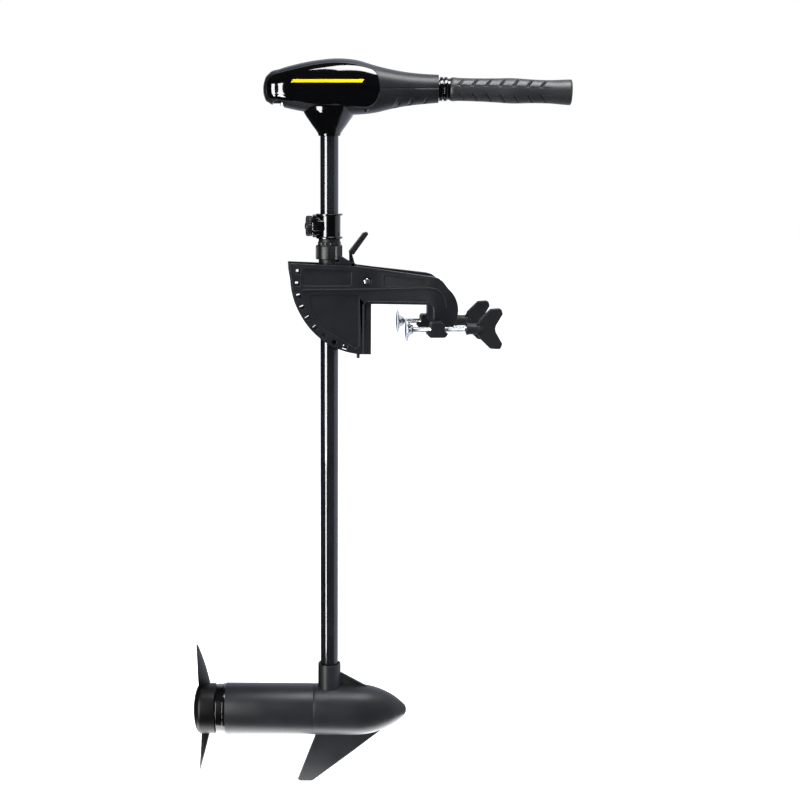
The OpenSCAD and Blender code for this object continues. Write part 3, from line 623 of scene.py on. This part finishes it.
def half_shell(upper, count=110):
    """One shell: outer section, inner section, its round cradle for the tiller, and the end faces."""
    x = np.concatenate([np.linspace(HEAD[0, 0], -92, 14), np.linspace(-91, SOCKET_END, 230)])[:, None]
    level = SPLIT_Z + (SPLIT_GAP if upper else -SPLIT_GAP)
    t = shell_angles(x, level, upper, count)
    outer = head_point(x, t, 0)
    lip = np.clip(1 - np.abs(outer[..., 2] - level) / 0.9, 0, 1) ** 2
    outer = outer - lip[..., None] * 0.5 * np.stack([0 * t, np.sign(outer[..., 1]), 0 * t], -1)
    inner = head_point(x, t, SHELL_WALL)
    if not upper:
        roof = scoop_roof(x)
        near_scoop = np.abs(x - SCOOP[0]) < SCOOP[2]
        outer[..., 2] = np.where(near_scoop, np.maximum(outer[..., 2], roof), outer[..., 2])
        over_scoop = np.abs(x - SCOOP[0]) < SCOOP[2] + SHELL_WALL
        inner[..., 2] = np.where(over_scoop, np.maximum(inner[..., 2], roof + SHELL_WALL), inner[..., 2])
        for spot in SCREW_SPOTS:
            pit = np.hypot(outer[..., 0] - spot[0], outer[..., 1] - spot[1]) < SCREW_PIT_RADIUS
            outer[..., 2] = np.where(pit, np.maximum(outer[..., 2], SCREW_PIT_ROOF), outer[..., 2])
        outer[..., 2] += NOTCH_DEPTH * socket_notches(outer)
    drop = TILLER_AXIS[2] / (TILLER_AXIS @ FORWARD)
    axis_z = TILLER_AT[2] + drop * x
    start = np.arcsin((level - axis_z) / CRADLE_RADIUS)
    turn = lip_to_lip(start, upper, count)
    across, up = CRADLE_RADIUS * np.cos(turn), CRADLE_RADIUS * np.sin(turn)
    cradle = np.stack([x + 0 * turn, across, axis_z + up], -1)
    into = smooth_step(139, 145, x)[..., None]
    inner = inner * (1 - into) + cradle * into
    section = np.concatenate([outer, inner[:, ::-1]], 1)
    middle = np.array([HEAD[0, 0] - 0.1, 0, level])
    cap = np.stack([section[0], np.broadcast_to(middle, section[0].shape)])
    rim = np.stack([outer[-1], inner[-1]])
    return [Grid(section, False, True), Grid(cap, False, True), Grid(rim)]


def neck():
    """The neck's flare carried round the shaft, as one closed ring."""
    low = float(box_mm("head_base")[0][2])
    fine = np.linspace(0.9, NECK_HEIGHTS[-1], 60)
    flare = np.stack([low + fine, through(NECK_HEIGHTS, NECK_RADII, fine)], -1)
    bore = sizes().shaft_radius / MM + 0.25
    foot = [(low, bore), (low, 16.0), (low + 0.25, 16.5)]
    return turned(np.concatenate([foot, flare, [(low + 46, bore)]]), 128, True, True, 1)


# The gloss panel's side view: x, z and how much each corner is eased
PANEL_OUTLINE = [
    (-94, 336, 6), (-93, 312, 8), (-20, 301.5, 26), (50, 297.5, 12), (66, 298.5, 11), (77.2, 317, 14),
    (77.6, 334, 14), (71, 353.5, 10), (43, 362, 14), (14, 365.5, 14), (-20, 362.5, 16), (-86, 347, 10),
]
STRIPE_OUTLINE = [(-58, 334.4, 1), (50, 334.4, 1), (54, 339.2, 1), (-54, 339.2, 1)]
STRIPE_PROUD = 0.12


def on_panel(side, outline, middle, out, rings=26):
    """A closed pad over the head's skin: rings of its outline, shrunk to its middle in front and behind."""
    share = np.concatenate([np.linspace(0, 0.965, rings), [0.978, 0.988, 0.996, 1.0, 1.0, 0.9, 0.0]])
    edge = [out - 0.06, out - 0.25, out - 0.6, out - 1.1]
    level = np.concatenate([np.full(rings, out), edge, [-1.3, -1.3, -1.3]])
    flat = np.array(middle) + share[:, None, None] * (outline[None] - np.array(middle))
    y = head_side(flat[..., 0], flat[..., 1], level[:, None])
    return Grid(np.stack([flat[..., 0], side * y, flat[..., 1]], -1), False, True)


def spread(outline, count):
    """The same closed line with its points evenly spaced along it."""
    ring = np.concatenate([outline, outline[:1]])
    along = np.concatenate([[0], np.cumsum(np.linalg.norm(np.diff(ring, axis=0), axis=1))])
    at = np.linspace(0, along[-1], count, endpoint=False)
    return np.stack([np.interp(at, along, ring[:, k]) for k in (0, 1)], -1)


class TROLLING_OT_head(bpy.types.Operator):
    """Builds the head's two satin shells, its gloss neck and side panels, and the plain stripe"""

    bl_idname = "trolling.head"
    bl_label = "Head"

    def execute(self, context):
        cover = make_piece("head_cover_shell", half_shell(True), STEER, ["head_plastic"])
        stand_for(cover, "shaft", "head_plastic", "head_cover")
        grids = half_shell(False) + [neck()]
        base = make_piece("head_base_shell", grids, STEER, ["head_plastic", "neck_gloss"])
        stand_for(base, "shaft", "head_plastic", "head_base")
        outline = spread(eased(PANEL_OUTLINE, 14, True), 320)
        stripe = spread(eased(STRIPE_OUTLINE, 5, True), 200)
        proud = sizes().panel_proud / MM
        for side, word in ((-1, "near"), (1, "far")):
            grid = on_panel(side, outline, (-8, 332), proud)
            panel = make_piece(f"gloss_panel_{word}", [grid], STEER, ["panel_gloss"])
            stand_for(panel, "shaft", "panel_gloss", f"side_panel_{word}")
            grid = on_panel(side, stripe, (-2.5, 337.1), proud + STRIPE_PROUD, 6)
            line = make_piece(f"accent_stripe_{word}", [grid], STEER, ["accent"])
            stand_for(line, "shaft", "panel_gloss")
        return {"FINISHED"}


# ---- tiller and grip ----
GRIP_ENDS = (182.5, 366.0)
GRIP_BORE = 12.1
SLOT_GAP = 20.6
GRIP_SLOTS = 199.0 + SLOT_GAP * np.arange(7)
# The grip's radius at each distance from its start
GRIP_STATIONS = np.array([0, 2, 12, 24, 70, 92, 126, 152, 173, 181])
GRIP_RADII = (16.6, 17.4, 17.2, 17.1, 18.0, 18.9, 17.6, 17.5, 18.8, 19.2)


def grip_radius(x):
    """The grip's plain radius along its length: two shallow swellings and a flared end."""
    return through(GRIP_ENDS[0] + GRIP_STATIONS, GRIP_RADII, x)


def grip_relief(x, a):
    """Height of the grip's pattern: slanted slots on four rows of pads, whose crests fall to the shaft."""
    lift = np.abs((a + np.pi / 2) % np.pi - np.pi / 2)
    row = smooth_step(0.30, 0.40, lift) * smooth_step(1.30, 1.18, lift)
    near = x[..., None] - GRIP_SLOTS - 9.0 * (lift[..., None] - 0.75)
    slot = np.exp(-((near / 1.7) ** 2)).sum(-1)
    ahead = np.where((near > 0) & (near < SLOT_GAP), near / SLOT_GAP, 0).sum(-1)
    first, last = GRIP_SLOTS[0], GRIP_SLOTS[-1]
    inside = smooth_step(first - 6, first, x) * smooth_step(last + 16, last + 8, x)
    depth = sizes().groove_depth / MM
    return row * (0.55 * inside * (1 - ahead) - depth * slot)


def grip_skin():
    """The sleeve: plain radius plus relief, over length and angle, closed by its bore."""
    start, end = GRIP_ENDS
    x = np.linspace(start + 0.6, end - 3.4, 300)[:, None]
    a = np.linspace(0, 2 * np.pi, 180, endpoint=False)[None, :]
    front = np.array([(start, GRIP_BORE), (start, 15.9), (start + 0.2, 16.3)])
    back = np.array([(end - 3.05, 18.9), (end - 3, 18.6), (end - 3, GRIP_BORE)])
    along = np.concatenate([front[:, :1], x, back[:, :1]]) + 0 * a
    r = grip_radius(x) + grip_relief(x + 0 * a, a + 0 * x)
    r = np.concatenate([front[:, 1:] + 0 * a, r, back[:, 1:] + 0 * a])
    return Grid(np.stack([along, -r * np.cos(a), r * np.sin(a)], -1), True, True)


class TROLLING_OT_tiller(bpy.types.Operator):
    """Builds the tiller's ribbed ring, its tube, and the grip's sleeve and cap"""

    bl_idname = "trolling.tiller"
    bl_label = "Tiller and grip"

    def execute(self, context):
        tube = turned(eased([(28, 11, 0), (28, 14, 0.6), (180, 14, 0.6), (180, 11, 0)], 4), 96, True)
        piece = make_piece("tiller_tube_skin", [tube], TILLER, ["tiller_gloss"])
        stand_for(piece, "tiller", "tiller_gloss", "tiller_tube")
        rings = eased([
            (166.6, 14.1, 0), (166.6, 18.0, 0.5), (171.2, 18.3, 0.8), (171.6, 16.0, 0.3), (173, 16.0, 0.3),
            (173.4, 18.3, 0.8), (178, 18.1, 0.8), (178.6, 16.2, 0.4), (182.3, 16.2, 0.3), (182.3, 14.1, 0),
        ], 5)
        piece = make_piece("tiller_ferrule_rings", [turned(rings, 96, True)], TILLER, ["tiller_gloss"])
        stand_for(piece, "tiller", "tiller_gloss", "tiller_ferrule")
        piece = make_piece("grip_sleeve_skin", [grip_skin()], TILLER, ["grip_rubber"], 40)
        stand_for(piece, "grip", "grip_rubber", "grip_sleeve")
        end = GRIP_ENDS[1]
        cap = eased([
            (end - 7.9, 0, 0), (end - 7.9, 11.8, 0.3), (end - 2.95, 11.8, 0.2), (end - 2.9, 19.2, 0.7),
            (end - 1.2, 19.2, 1.0), (end, 17.2, 0.8), (end - 0.9, 15.6, 0.6), (end - 0.9, 7, 0.4),
            (end - 0.4, 6, 0.4), (end - 0.4, 0, 0),
        ], 5)
        piece = make_piece("grip_cap_disc", [turned(cap, 96)], TILLER, ["grip_plastic"])
        stand_for(piece, "grip", "grip_plastic", "grip_cap")
        return {"FINISHED"}


# ---- shaft and collar ----
NUT_BORE = 16.72


def lobed(levels, base, lobes, reach, square, phase, count=160):
    """Rings about an upright axis: each level (z, inset) has radius base + reach s - inset,
    where s is a squared-off cosine of the lobes."""
    a = np.linspace(0, 2 * np.pi, count, endpoint=False)[None, :]
    wave = np.cos(lobes * (a - phase))
    swell = np.clip(0.5 + square * wave, 0, 1)
    swell = swell * swell * (3 - 2 * swell)
    z, inset = (np.asarray(levels, float)[:, k, None] for k in (0, 1))
    r = base + reach * swell - inset
    return np.stack([r * np.cos(a), r * np.sin(a), z + 0 * a], -1)


class TROLLING_OT_shaft(bpy.types.Operator):
    """Builds the shaft tube"""

    bl_idname = "trolling.shaft"
    bl_label = "Shaft"

    def execute(self, context):
        low, high = (corner[2] for corner in box_mm("shaft_tube"))
        r = sizes().shaft_radius / MM
        wall = eased([(low, 10.5, 0), (low, r, 0.3), (high, r, 0.3), (high, 10.5, 0)], 4)
        tube = turned(wall, 128, True, True)
        piece = make_piece("shaft_tube_skin", [tube], STEER, ["shaft_composite"])
        stand_for(piece, "shaft", "shaft_composite", "shaft_tube")
        return {"FINISHED"}


class TROLLING_OT_collar(bpy.types.Operator):
    """Builds the depth collar with its boss, its knob, and the steering-tension nut"""

    bl_idname = "trolling.collar"
    bl_label = "Collar, knob and nut"

    def execute(self, context):
        low, high = (corner[2] for corner in box_mm("depth_collar"))
        ring = eased([
            (low, 14.1, 0.4), (low, 20.4, 0.5), (low + 2.6, 20.4, 0.5), (low + 2.9, 17.2, 0.5),
            (high - 2.9, 17.2, 0.5), (high - 2.6, 20.4, 0.5), (high, 20.4, 0.5), (high, 14.1, 0.4),
        ], 5, True)
        levels = [(8, 0.6), (8, 0.2), (12, 0), (24.6, 0), (25.6, 0.4), (26, 1.2), (26, 1.8)]
        boss = lobed(levels, 16.6, 10, 0.9, 0.6, 0.1, 200)
        boss = boss[..., [2, 1, 0]] * [-1, 1, 1] + [0, 0, KNOB.origin[2]]
        grids = [turned(ring, 128, True, True), Grid(boss, False, True, (0, -1))]
        piece = make_piece("depth_collar_body", grids, STEER, ["collar_gloss"])
        stand_for(piece, "depth_collar", "control_plastic", "depth_collar")
        levels = [
            (26.5, 2.4), (26.5, 1.2), (27.3, 0.3), (28.4, 0), (33.8, 0), (35.2, 0.5), (36.0, 1.6),
            (36.3, 3.0), (35.0, 4.0), (35.0, 6.0), (36.2, 9.0), (37.6, 12.0), (38.1, 15.6),
        ]
        knob = lobed(levels, 15.0, 8, 0.7, 0.6, 0.0, 240)[..., [2, 1, 0]] * [-1, 1, 1]
        grid = Grid(knob, False, True, (0, -1))
        piece = make_piece("collar_knob_body", [grid], KNOB, ["control_plastic"], 40)
        stand_for(piece, "collar_knob", "control_plastic", "collar_knob")
        low, high = (corner[2] for corner in box_mm("tension_nut"))
        low += 3
        levels = [
            (low, 2.2), (low, 1.0), (low + 0.8, 0.3), (low + 2, 0), (high - 7.4, 0), (high - 6, 0.5),
            (high - 5.3, 1.6),
        ]
        phase = math.radians(-116)
        lobes = lobed(levels, 17.9, 5, 3.2, 2.2, phase, 240)
        levels = [(high - 5.3, 0.6), (high - 3.2, 0.2), (high - 0.8, 0.2), (high, 0.7)]
        cone = lobed(levels, 17.0, 10, 0.9, 0.6, phase, 240)
        hole = lobed([(high, 0), (low, 0)], NUT_BORE, 1, 0, 0, 0, 240)
        rows = np.concatenate([lobes, cone, hole])
        grid = Grid(rows, True, True)
        piece = make_piece("tension_nut_body", [grid], Place(SHAFT_AT), ["control_plastic"], 35)
        stand_for(piece, "tension_nut", "control_plastic", "tension_nut")
        return {"FINISHED"}


# ---- bracket, swivel and clamp ----
SCREW_RADIUS = 4
THREAD_DEPTH = 0.55
THREAD_END = 141


class TROLLING_OT_bracket(bpy.types.Operator):
    """Builds the bracket, the swivel, the release lever and the tilt pin's domed head"""

    bl_idname = "trolling.bracket"
    bl_label = "Bracket and swivel"

    def execute(self, context):
        edge = sizes().edge / MM
        for node, name, body in (
            ("bracket_body", "bracket_moulding", "bracket"),
            ("swivel_block", "swivel_moulding", "swivel"),
            ("release_lever", "release_lever_moulding", "release_lever"),
        ):
            stand_for(softened(node, edge, name), body, SLOTS[node], node)
        near, far = (corner[1] for corner in box_mm("tilt_pin"))
        dome = eased([
            (near, 0, 0), (near + 0.1, 2.2, 1.2), (near + 0.9, 4.5, 0.6), (near + 1.5, 4.6, 0.1),
            (near + 1.6, 4, 0.1), (far, 4, 0.4), (far, 0, 0),
        ], 6)
        piece = make_piece("tilt_pin_domed", [turned(dome, 64)], PIVOT, ["stainless"])
        stand_for(piece, "bracket", "stainless", "tilt_pin")
        return {"FINISHED"}


def screw_thread(start, end, radius, pitch, run_out, steps=9, sides=40):
    """A threaded rod: the radius dips by a cosine of x / pitch - a / 2 pi, fading out at both ends."""
    x = np.arange(start, end, pitch / steps)[:, None]
    a = np.linspace(0, 2 * np.pi, sides, endpoint=False)[None, :]
    phase = (x / pitch - a / (2 * np.pi)) % 1
    dip = THREAD_DEPTH * (0.5 - 0.5 * np.cos(2 * np.pi * phase))
    fade = smooth_step(start + 1, start + 3, x) * smooth_step(run_out, run_out - 3, x)
    r = radius - dip * fade
    rod = np.stack([x + 0 * a, r * np.sin(a), r * np.cos(a)], -1)
    return Grid(rod, False, True, (0, -1))


class TROLLING_OT_clamp(bpy.types.Operator):
    """Builds both clamp screws with their threads, wings and dished pads"""

    bl_idname = "trolling.clamp"
    bl_label = "Clamp screws"

    def execute(self, context):
        edge = sizes().wing_edge / MM
        pitch = sizes().thread_pitch / MM
        for word, place in SCREWS.items():
            face = box_mm(f"clamp_pad_{word}")[0][0]
            dish = eased([
                (face + 1.1, 0, 0), (face + 0.9, 8, 2), (face, 16.6, 0.8), (face + 0.1, 17.5, 0.2),
                (face + 0.7, 17.75, 0.3), (face + 1.3, 17.4, 0.4), (face + 3, 12.5, 2.5),
                (face + 6.2, 8.3, 2), (face + 10.4, 6.9, 0.8), (face + 10.6, 4.2, 0.2),
                (face + 2.2, 4.15, 0.2), (face + 2.2, 0, 0),
            ], 6)
            pad = make_piece(f"clamp_pad_dish_{word}", [turned(dish, 96)], place, ["pad_plating"])
            stand_for(pad, f"pad_{word}", "zinc_steel", f"clamp_pad_{word}")
            low, high = (corner[0] for corner in box_mm(f"clamp_screw_{word}"))
            thread = screw_thread(low, high, SCREW_RADIUS, pitch, THREAD_END)
            rod = make_piece(f"clamp_screw_rod_{word}", [thread], place, ["zinc_steel"], 60)
            stand_for(rod, f"screw_{word}", "zinc_steel", f"clamp_screw_{word}")
            wing = softened(f"wing_{word}", edge, f"wing_handle_{word}", 40)
            stand_for(wing, f"screw_{word}", "wing_plastic", f"wing_{word}")
        return {"FINISHED"}


# ---- motor ----
# The nose casting's radius at each distance along the motor
NOSE_X = (-25.5, 10, 36, 46, 56.6, 73, 89, 105.5, 115.5, 121, 123.5, 124.5)
NOSE_R = (41.3, 41.3, 41.3, 41.0, 39.9, 36.4, 30.7, 21.8, 14.0, 8.8, 5.0, 0)
# Side views of the skeg and of the web before the socket: x, z and how much each corner is eased
SKEG = [
    (-19, -34, 0), (-52, -121, 1.2), (-48, -123.5, 1.5), (-28, -123.5, 3), (37, -73, 8), (93, -28, 4),
    (60, -20, 0),
]
WEB = [(10, 30, 0), (72, 30, 0), (60, 40, 1), (19, 62.5, 1.5), (10, 62.5, 0)]
CAN_ENDS = (-167.4, -25.65)
# The blades' tip radius, chord before its taper, pitch at three quarters of the radius, and place and lean
TIP_RADIUS = 112
BLADE_CHORD = 43
BLADE_PITCH = math.radians(12)
BLADE_MIDDLE = -197.5
BLADE_RAKE = 16


class TROLLING_OT_motor(bpy.types.Operator):
    """Builds the motor's can, its nose casting with socket, web and skeg, and the rear bell"""

    bl_idname = "trolling.motor"
    bl_label = "Motor"

    def execute(self, context):
        r = sizes().motor_radius / MM
        back, front = CAN_ENDS
        can = eased([(back, r - 3, 0), (back, r, 0.5), (front, r, 0.3), (front, r - 3, 0)], 4)
        piece = make_piece("motor_can_skin", [turned(can, 160, True)], MOTOR, ["motor_paint"])
        stand_for(piece, "shaft", "motor_paint", "motor_can")
        spans = ((-25, 40, 14), (42, 121, 70), (121.4, 123.5, 8))
        fine = np.concatenate([np.linspace(*span) for span in spans])
        cone = np.stack([fine, through(NOSE_X, NOSE_R, fine)], -1)
        start = [(-25.45, 0), (-25.45, r - 0.35), (-25.3, r - 0.1)]
        tip = [(124.0, 3.6), (124.35, 2.0), (124.5, 0)]
        nose = turned(np.concatenate([start, cone, tip]), 160)
        socket = eased([
            (20, 14.1, 0), (20, 18.2, 0), (78.4, 18.2, 0.9), (78.4, 16.4, 0.5), (76.6, 14.3, 0.5),
            (60, 14.1, 0),
        ], 6)
        web = plate(spread(eased(WEB, 4, True), 160), 0, 6, 1.2)
        skeg = plate(spread(eased(SKEG, 6, True), 260), 0, 4.6, 1.6)
        casting = [nose, turned(socket, 96, True, True), web, skeg]
        piece = make_piece("nose_casting", casting, MOTOR, ["motor_paint"])
        stand_for(piece, "shaft", "motor_paint", "nose_housing")
        bell = eased([
            (-182.5, 7.8, 0.3), (-182.5, 39.4, 0.8), (-172, 39.6, 0.2), (-171.4, r - 1, 0.3),
            (-167.45, r - 1, 0.2), (-167.45, 13, 0.2), (-167.45, 7.8, 0.2),
        ], 5, True)
        piece = make_piece("rear_bell_skin", [turned(bell, 160, True)], MOTOR, ["bell_paint"])
        stand_for(piece, "shaft", "bell_paint", "rear_bell")
        return {"FINISHED"}


def blade(turn, count=56, around=48):
    """A propeller blade: thin lens sections, whose chord, pitch and rake follow their share of the radius."""
    near_tip = 1 - 0.04 * (1 - np.linspace(0, 1, 12)[1:]) ** 1.6
    share = np.concatenate([np.linspace(30 / TIP_RADIUS, 0.96, count), near_tip])[:, None]
    span = np.clip((share - 0.25) / 0.75, 0, 1)
    taper = np.clip(1 - np.clip((share - 0.35) / 0.66, 0, 1) ** 1.6, 0, 1) ** 0.75
    chord = BLADE_CHORD * taper * (0.62 + 0.6 * np.minimum(share, 0.6))
    chord = chord * np.sqrt(np.clip(1 - span**24, 0, 1))
    pitch = np.arctan(np.tan(BLADE_PITCH) * 0.75 / np.maximum(share, 0.3))
    thick = (6.5 - 4.7 * share) * np.clip(chord / 10, 0, 1) ** 0.5
    a = np.linspace(0, 2 * np.pi, around, endpoint=False)[None, :]
    u = chord * 0.5 * np.cos(a) + chord * 0.12 * share
    v = thick / 2 * np.sin(a) * (1 + 0.35 * np.cos(a)) + 1.6 * (1 - np.cos(a) ** 2) * (1 - share)
    points = np.stack([
        BLADE_MIDDLE - BLADE_RAKE * share + u * np.sin(pitch) + v * np.cos(pitch),
        u * np.cos(pitch) - v * np.sin(pitch),
        TIP_RADIUS * share + 0 * a,
    ], -1)
    c, s = math.cos(turn), math.sin(turn)
    return Grid(points @ np.array([(1, 0, 0), (0, c, s), (0, -s, c)]), False, True, (0, -1))


class TROLLING_OT_propeller(bpy.types.Operator):
    """Builds the propeller's hub and its two blades"""

    bl_idname = "trolling.propeller"
    bl_label = "Propeller"

    def execute(self, context):
        hub = eased([
            (-210.4, 10.2, 0.4), (-218.8, 10.2, 0.5), (-219.2, 14, 0.5), (-217.4, 27, 8), (-213.2, 36.6, 3),
            (-208.6, 40.4, 2.5), (-184.6, 40.3, 0.6), (-184.6, 36.2, 0.6), (-207.0, 35.0, 1),
            (-207.0, 11, 0.5), (-184.8, 10.8, 0.3), (-184.8, 4.9, 0.2), (-210.4, 4.9, 0.2),
        ], 6, True)
        parts = [turned(hub, 160, True), blade(math.radians(4)), blade(math.radians(184))]
        piece = make_piece("propeller_moulding", parts, MOTOR, ["prop_plastic"], 35)
        stand_for(piece, "rotor", "prop_plastic", "propeller")
        return {"FINISHED"}


class TROLLING_OT_hardware(bpy.types.Operator):
    """Gives every CAD node that still shows its finish"""

    bl_idname = "trolling.hardware"
    bl_label = "Hardware finishes"

    def execute(self, context):
        for node, piece in frame["nodes"].items():
            if piece.hide_render:
                continue
            piece.data.materials.clear()
            piece.data.materials.append(finish_of(SLOTS[node]))
        return {"FINISHED"}


# ---- stage ----
CAMERA_AT = (-0.27565, -2.44167, 0.27937)
CAMERA_PITCH = 10.0
CAMERA_HEADING = 5.0
CAMERA_LENS = 71.46
CAMERA_SHIFT = 0.0875
CAMERA_SENSOR = 36
FLOOR_REACH = 9000
FLOOR_GLOW = 1.1
# Soft boxes: name, place, what it faces, width, height, radiance
SOFT_BOXES = (
    ("left_strip", (-1.45, -1.15, 0.05), (-0.06, 0, 0.05), 0.8, 1.5, 24),
    ("left_strip_low", (-1.45, -1.15, -1.1), (-0.06, 0, -1.1), 0.4, 0.85, 30),
    ("top_box", (0.3, -0.45, 1.75), (0.0, 0, 0.3), 1.3, 0.7, 22),
    ("front_fill", (1.7, -2.1, 0.5), (0.0, 0, -0.2), 1.4, 1.4, 3.2),
    ("under_box", (-0.12, 0.02, -0.792), (-0.12, 0.02, 0.0), 0.6, 0.16, 7),
)


def soft_box(name, at, towards, width, height, radiance):
    """An area light whose power gives it that radiance: power = pi area radiance."""
    data = bpy.data.lights.new(name, "AREA")
    data.shape = "RECTANGLE"
    data.size, data.size_y = width, height
    data.energy = math.pi * width * height * radiance
    light = bpy.data.objects.new(name, data)
    light.location = at
    light.rotation_euler = (Vector(towards) - Vector(at)).to_track_quat("-Z", "Y").to_euler()
    bpy.context.scene.collection.objects.link(light)
    return light


def floor_surface(z, reach, rows=24):
    """A flat grid at one height."""
    x, y = np.meshgrid(np.linspace(-reach, reach, rows), np.linspace(-reach, reach, rows), indexing="ij")
    return Grid(np.stack([x, y, np.full_like(x, z)], -1))


class TROLLING_OT_stage(bpy.types.Operator):
    """Makes the pale floor, the soft studio light and the camera"""

    bl_idname = "trolling.stage"
    bl_label = "Stage"

    def execute(self, context):
        scene = context.scene
        scene.view_settings.view_transform = "Standard"
        camera = bpy.data.objects.new("camera", bpy.data.cameras.new("camera"))
        camera.location = CAMERA_AT
        camera.rotation_euler = (math.radians(90 - CAMERA_PITCH), 0, math.radians(-CAMERA_HEADING))
        camera.data.lens = CAMERA_LENS
        camera.data.sensor_width = CAMERA_SENSOR
        camera.data.shift_x = CAMERA_SHIFT
        scene.collection.objects.link(camera)
        scene.camera = camera

        constants = {"Roughness": 0.9, "Emission Strength": FLOOR_GLOW}
        material, graph, shader, where = new_finish("pale_floor", constants)
        speck = graph.noise(where, 3.0, 3.0)
        tone = graph.mix(graph.between(speck, 0.3, 0.7), (0.80, 0.81, 0.82, 1), (0.84, 0.85, 0.86, 1))
        graph.join(shader.inputs["Base Color"], tone)
        graph.join(shader.inputs["Emission Color"], tone)
        grid = floor_surface(CAD_BOX[0][2] / MM - sizes().floor_gap / MM, FLOOR_REACH)
        mesh = bpy.data.meshes.new("floor")
        mesh.from_pydata(HULL(grid.points.reshape(-1, 3)), [], grid.faces(0))
        mesh.materials.append(material)
        floor = bpy.data.objects.new("floor", mesh)
        scene.collection.objects.link(floor)
        floor.visible_glossy = False

        world = bpy.data.worlds.new("studio")
        scene.world = world
        world.use_nodes = True
        graph = Graph(world.node_tree)
        ground = world.node_tree.nodes["Background"]
        ray = graph.node("ShaderNodeLightPath", out="Is Camera Ray")
        towards = graph.node("ShaderNodeTexCoord", out="Generated")
        side = graph.node(
            "ShaderNodeVectorMath", {"operation": "DOT_PRODUCT"}, {0: towards, 1: (0.8, 0.6, 0.0)}, "Value"
        )
        glow = graph.between(side, 0.3, 0.46, 0.03, 1.15)
        graph.join(ground.inputs["Color"], graph.mix(ray, (0.9, 0.96, 1.08, 1), (1, 1, 1, 1)))
        graph.join(ground.inputs["Strength"], glow + ray * (1 - glow))

        for name, at, towards, width, height, radiance in SOFT_BOXES:
            soft_box(name, at, towards, width, height, radiance)
        for name in ("left_strip", "left_strip_low"):
            scene.objects[name].visible_diffuse = False
        scene.objects["front_fill"].visible_glossy = False
        scene.objects["under_box"].visible_diffuse = False
        scene.objects["under_box"].visible_camera = False
        return {"FINISHED"}


class TROLLING_PT_panel(bpy.types.Panel):
    """Lists the pieces in the sidebar"""

    bl_label = "Trolling Motor"
    bl_idname = "TROLLING_PT_panel"
    bl_space_type = "VIEW_3D"
    bl_region_type = "UI"
    bl_category = "Trolling Motor"

    def draw(self, context):
        for operator in OPERATORS:
            self.layout.operator(operator.bl_idname)
        for group in (context.scene.trolling_sizes, context.scene.trolling_colours):
            box = self.layout.box()
            for name in group.__annotations__:
                box.prop(group, name)


OPERATORS = (
    TROLLING_OT_stage,
    TROLLING_OT_head,
    TROLLING_OT_tiller,
    TROLLING_OT_shaft,
    TROLLING_OT_collar,
    TROLLING_OT_bracket,
    TROLLING_OT_clamp,
    TROLLING_OT_motor,
    TROLLING_OT_propeller,
    TROLLING_OT_hardware,
)
CLASSES = (TrollingColours, TrollingSizes, *OPERATORS, TROLLING_PT_panel)


def register():
    for cls in CLASSES:
        bpy.utils.register_class(cls)
    bpy.types.Scene.trolling_colours = bpy.props.PointerProperty(type=TrollingColours)
    bpy.types.Scene.trolling_sizes = bpy.props.PointerProperty(type=TrollingSizes)


def unregister():
    del bpy.types.Scene.trolling_sizes
    del bpy.types.Scene.trolling_colours
    for cls in reversed(CLASSES):
        bpy.utils.unregister_class(cls)


def main():
    register()
    for operator in OPERATORS:
        area, name = operator.bl_idname.split(".")
        getattr(getattr(bpy.ops, area), name)()


if __name__ == "__main__":
    main()
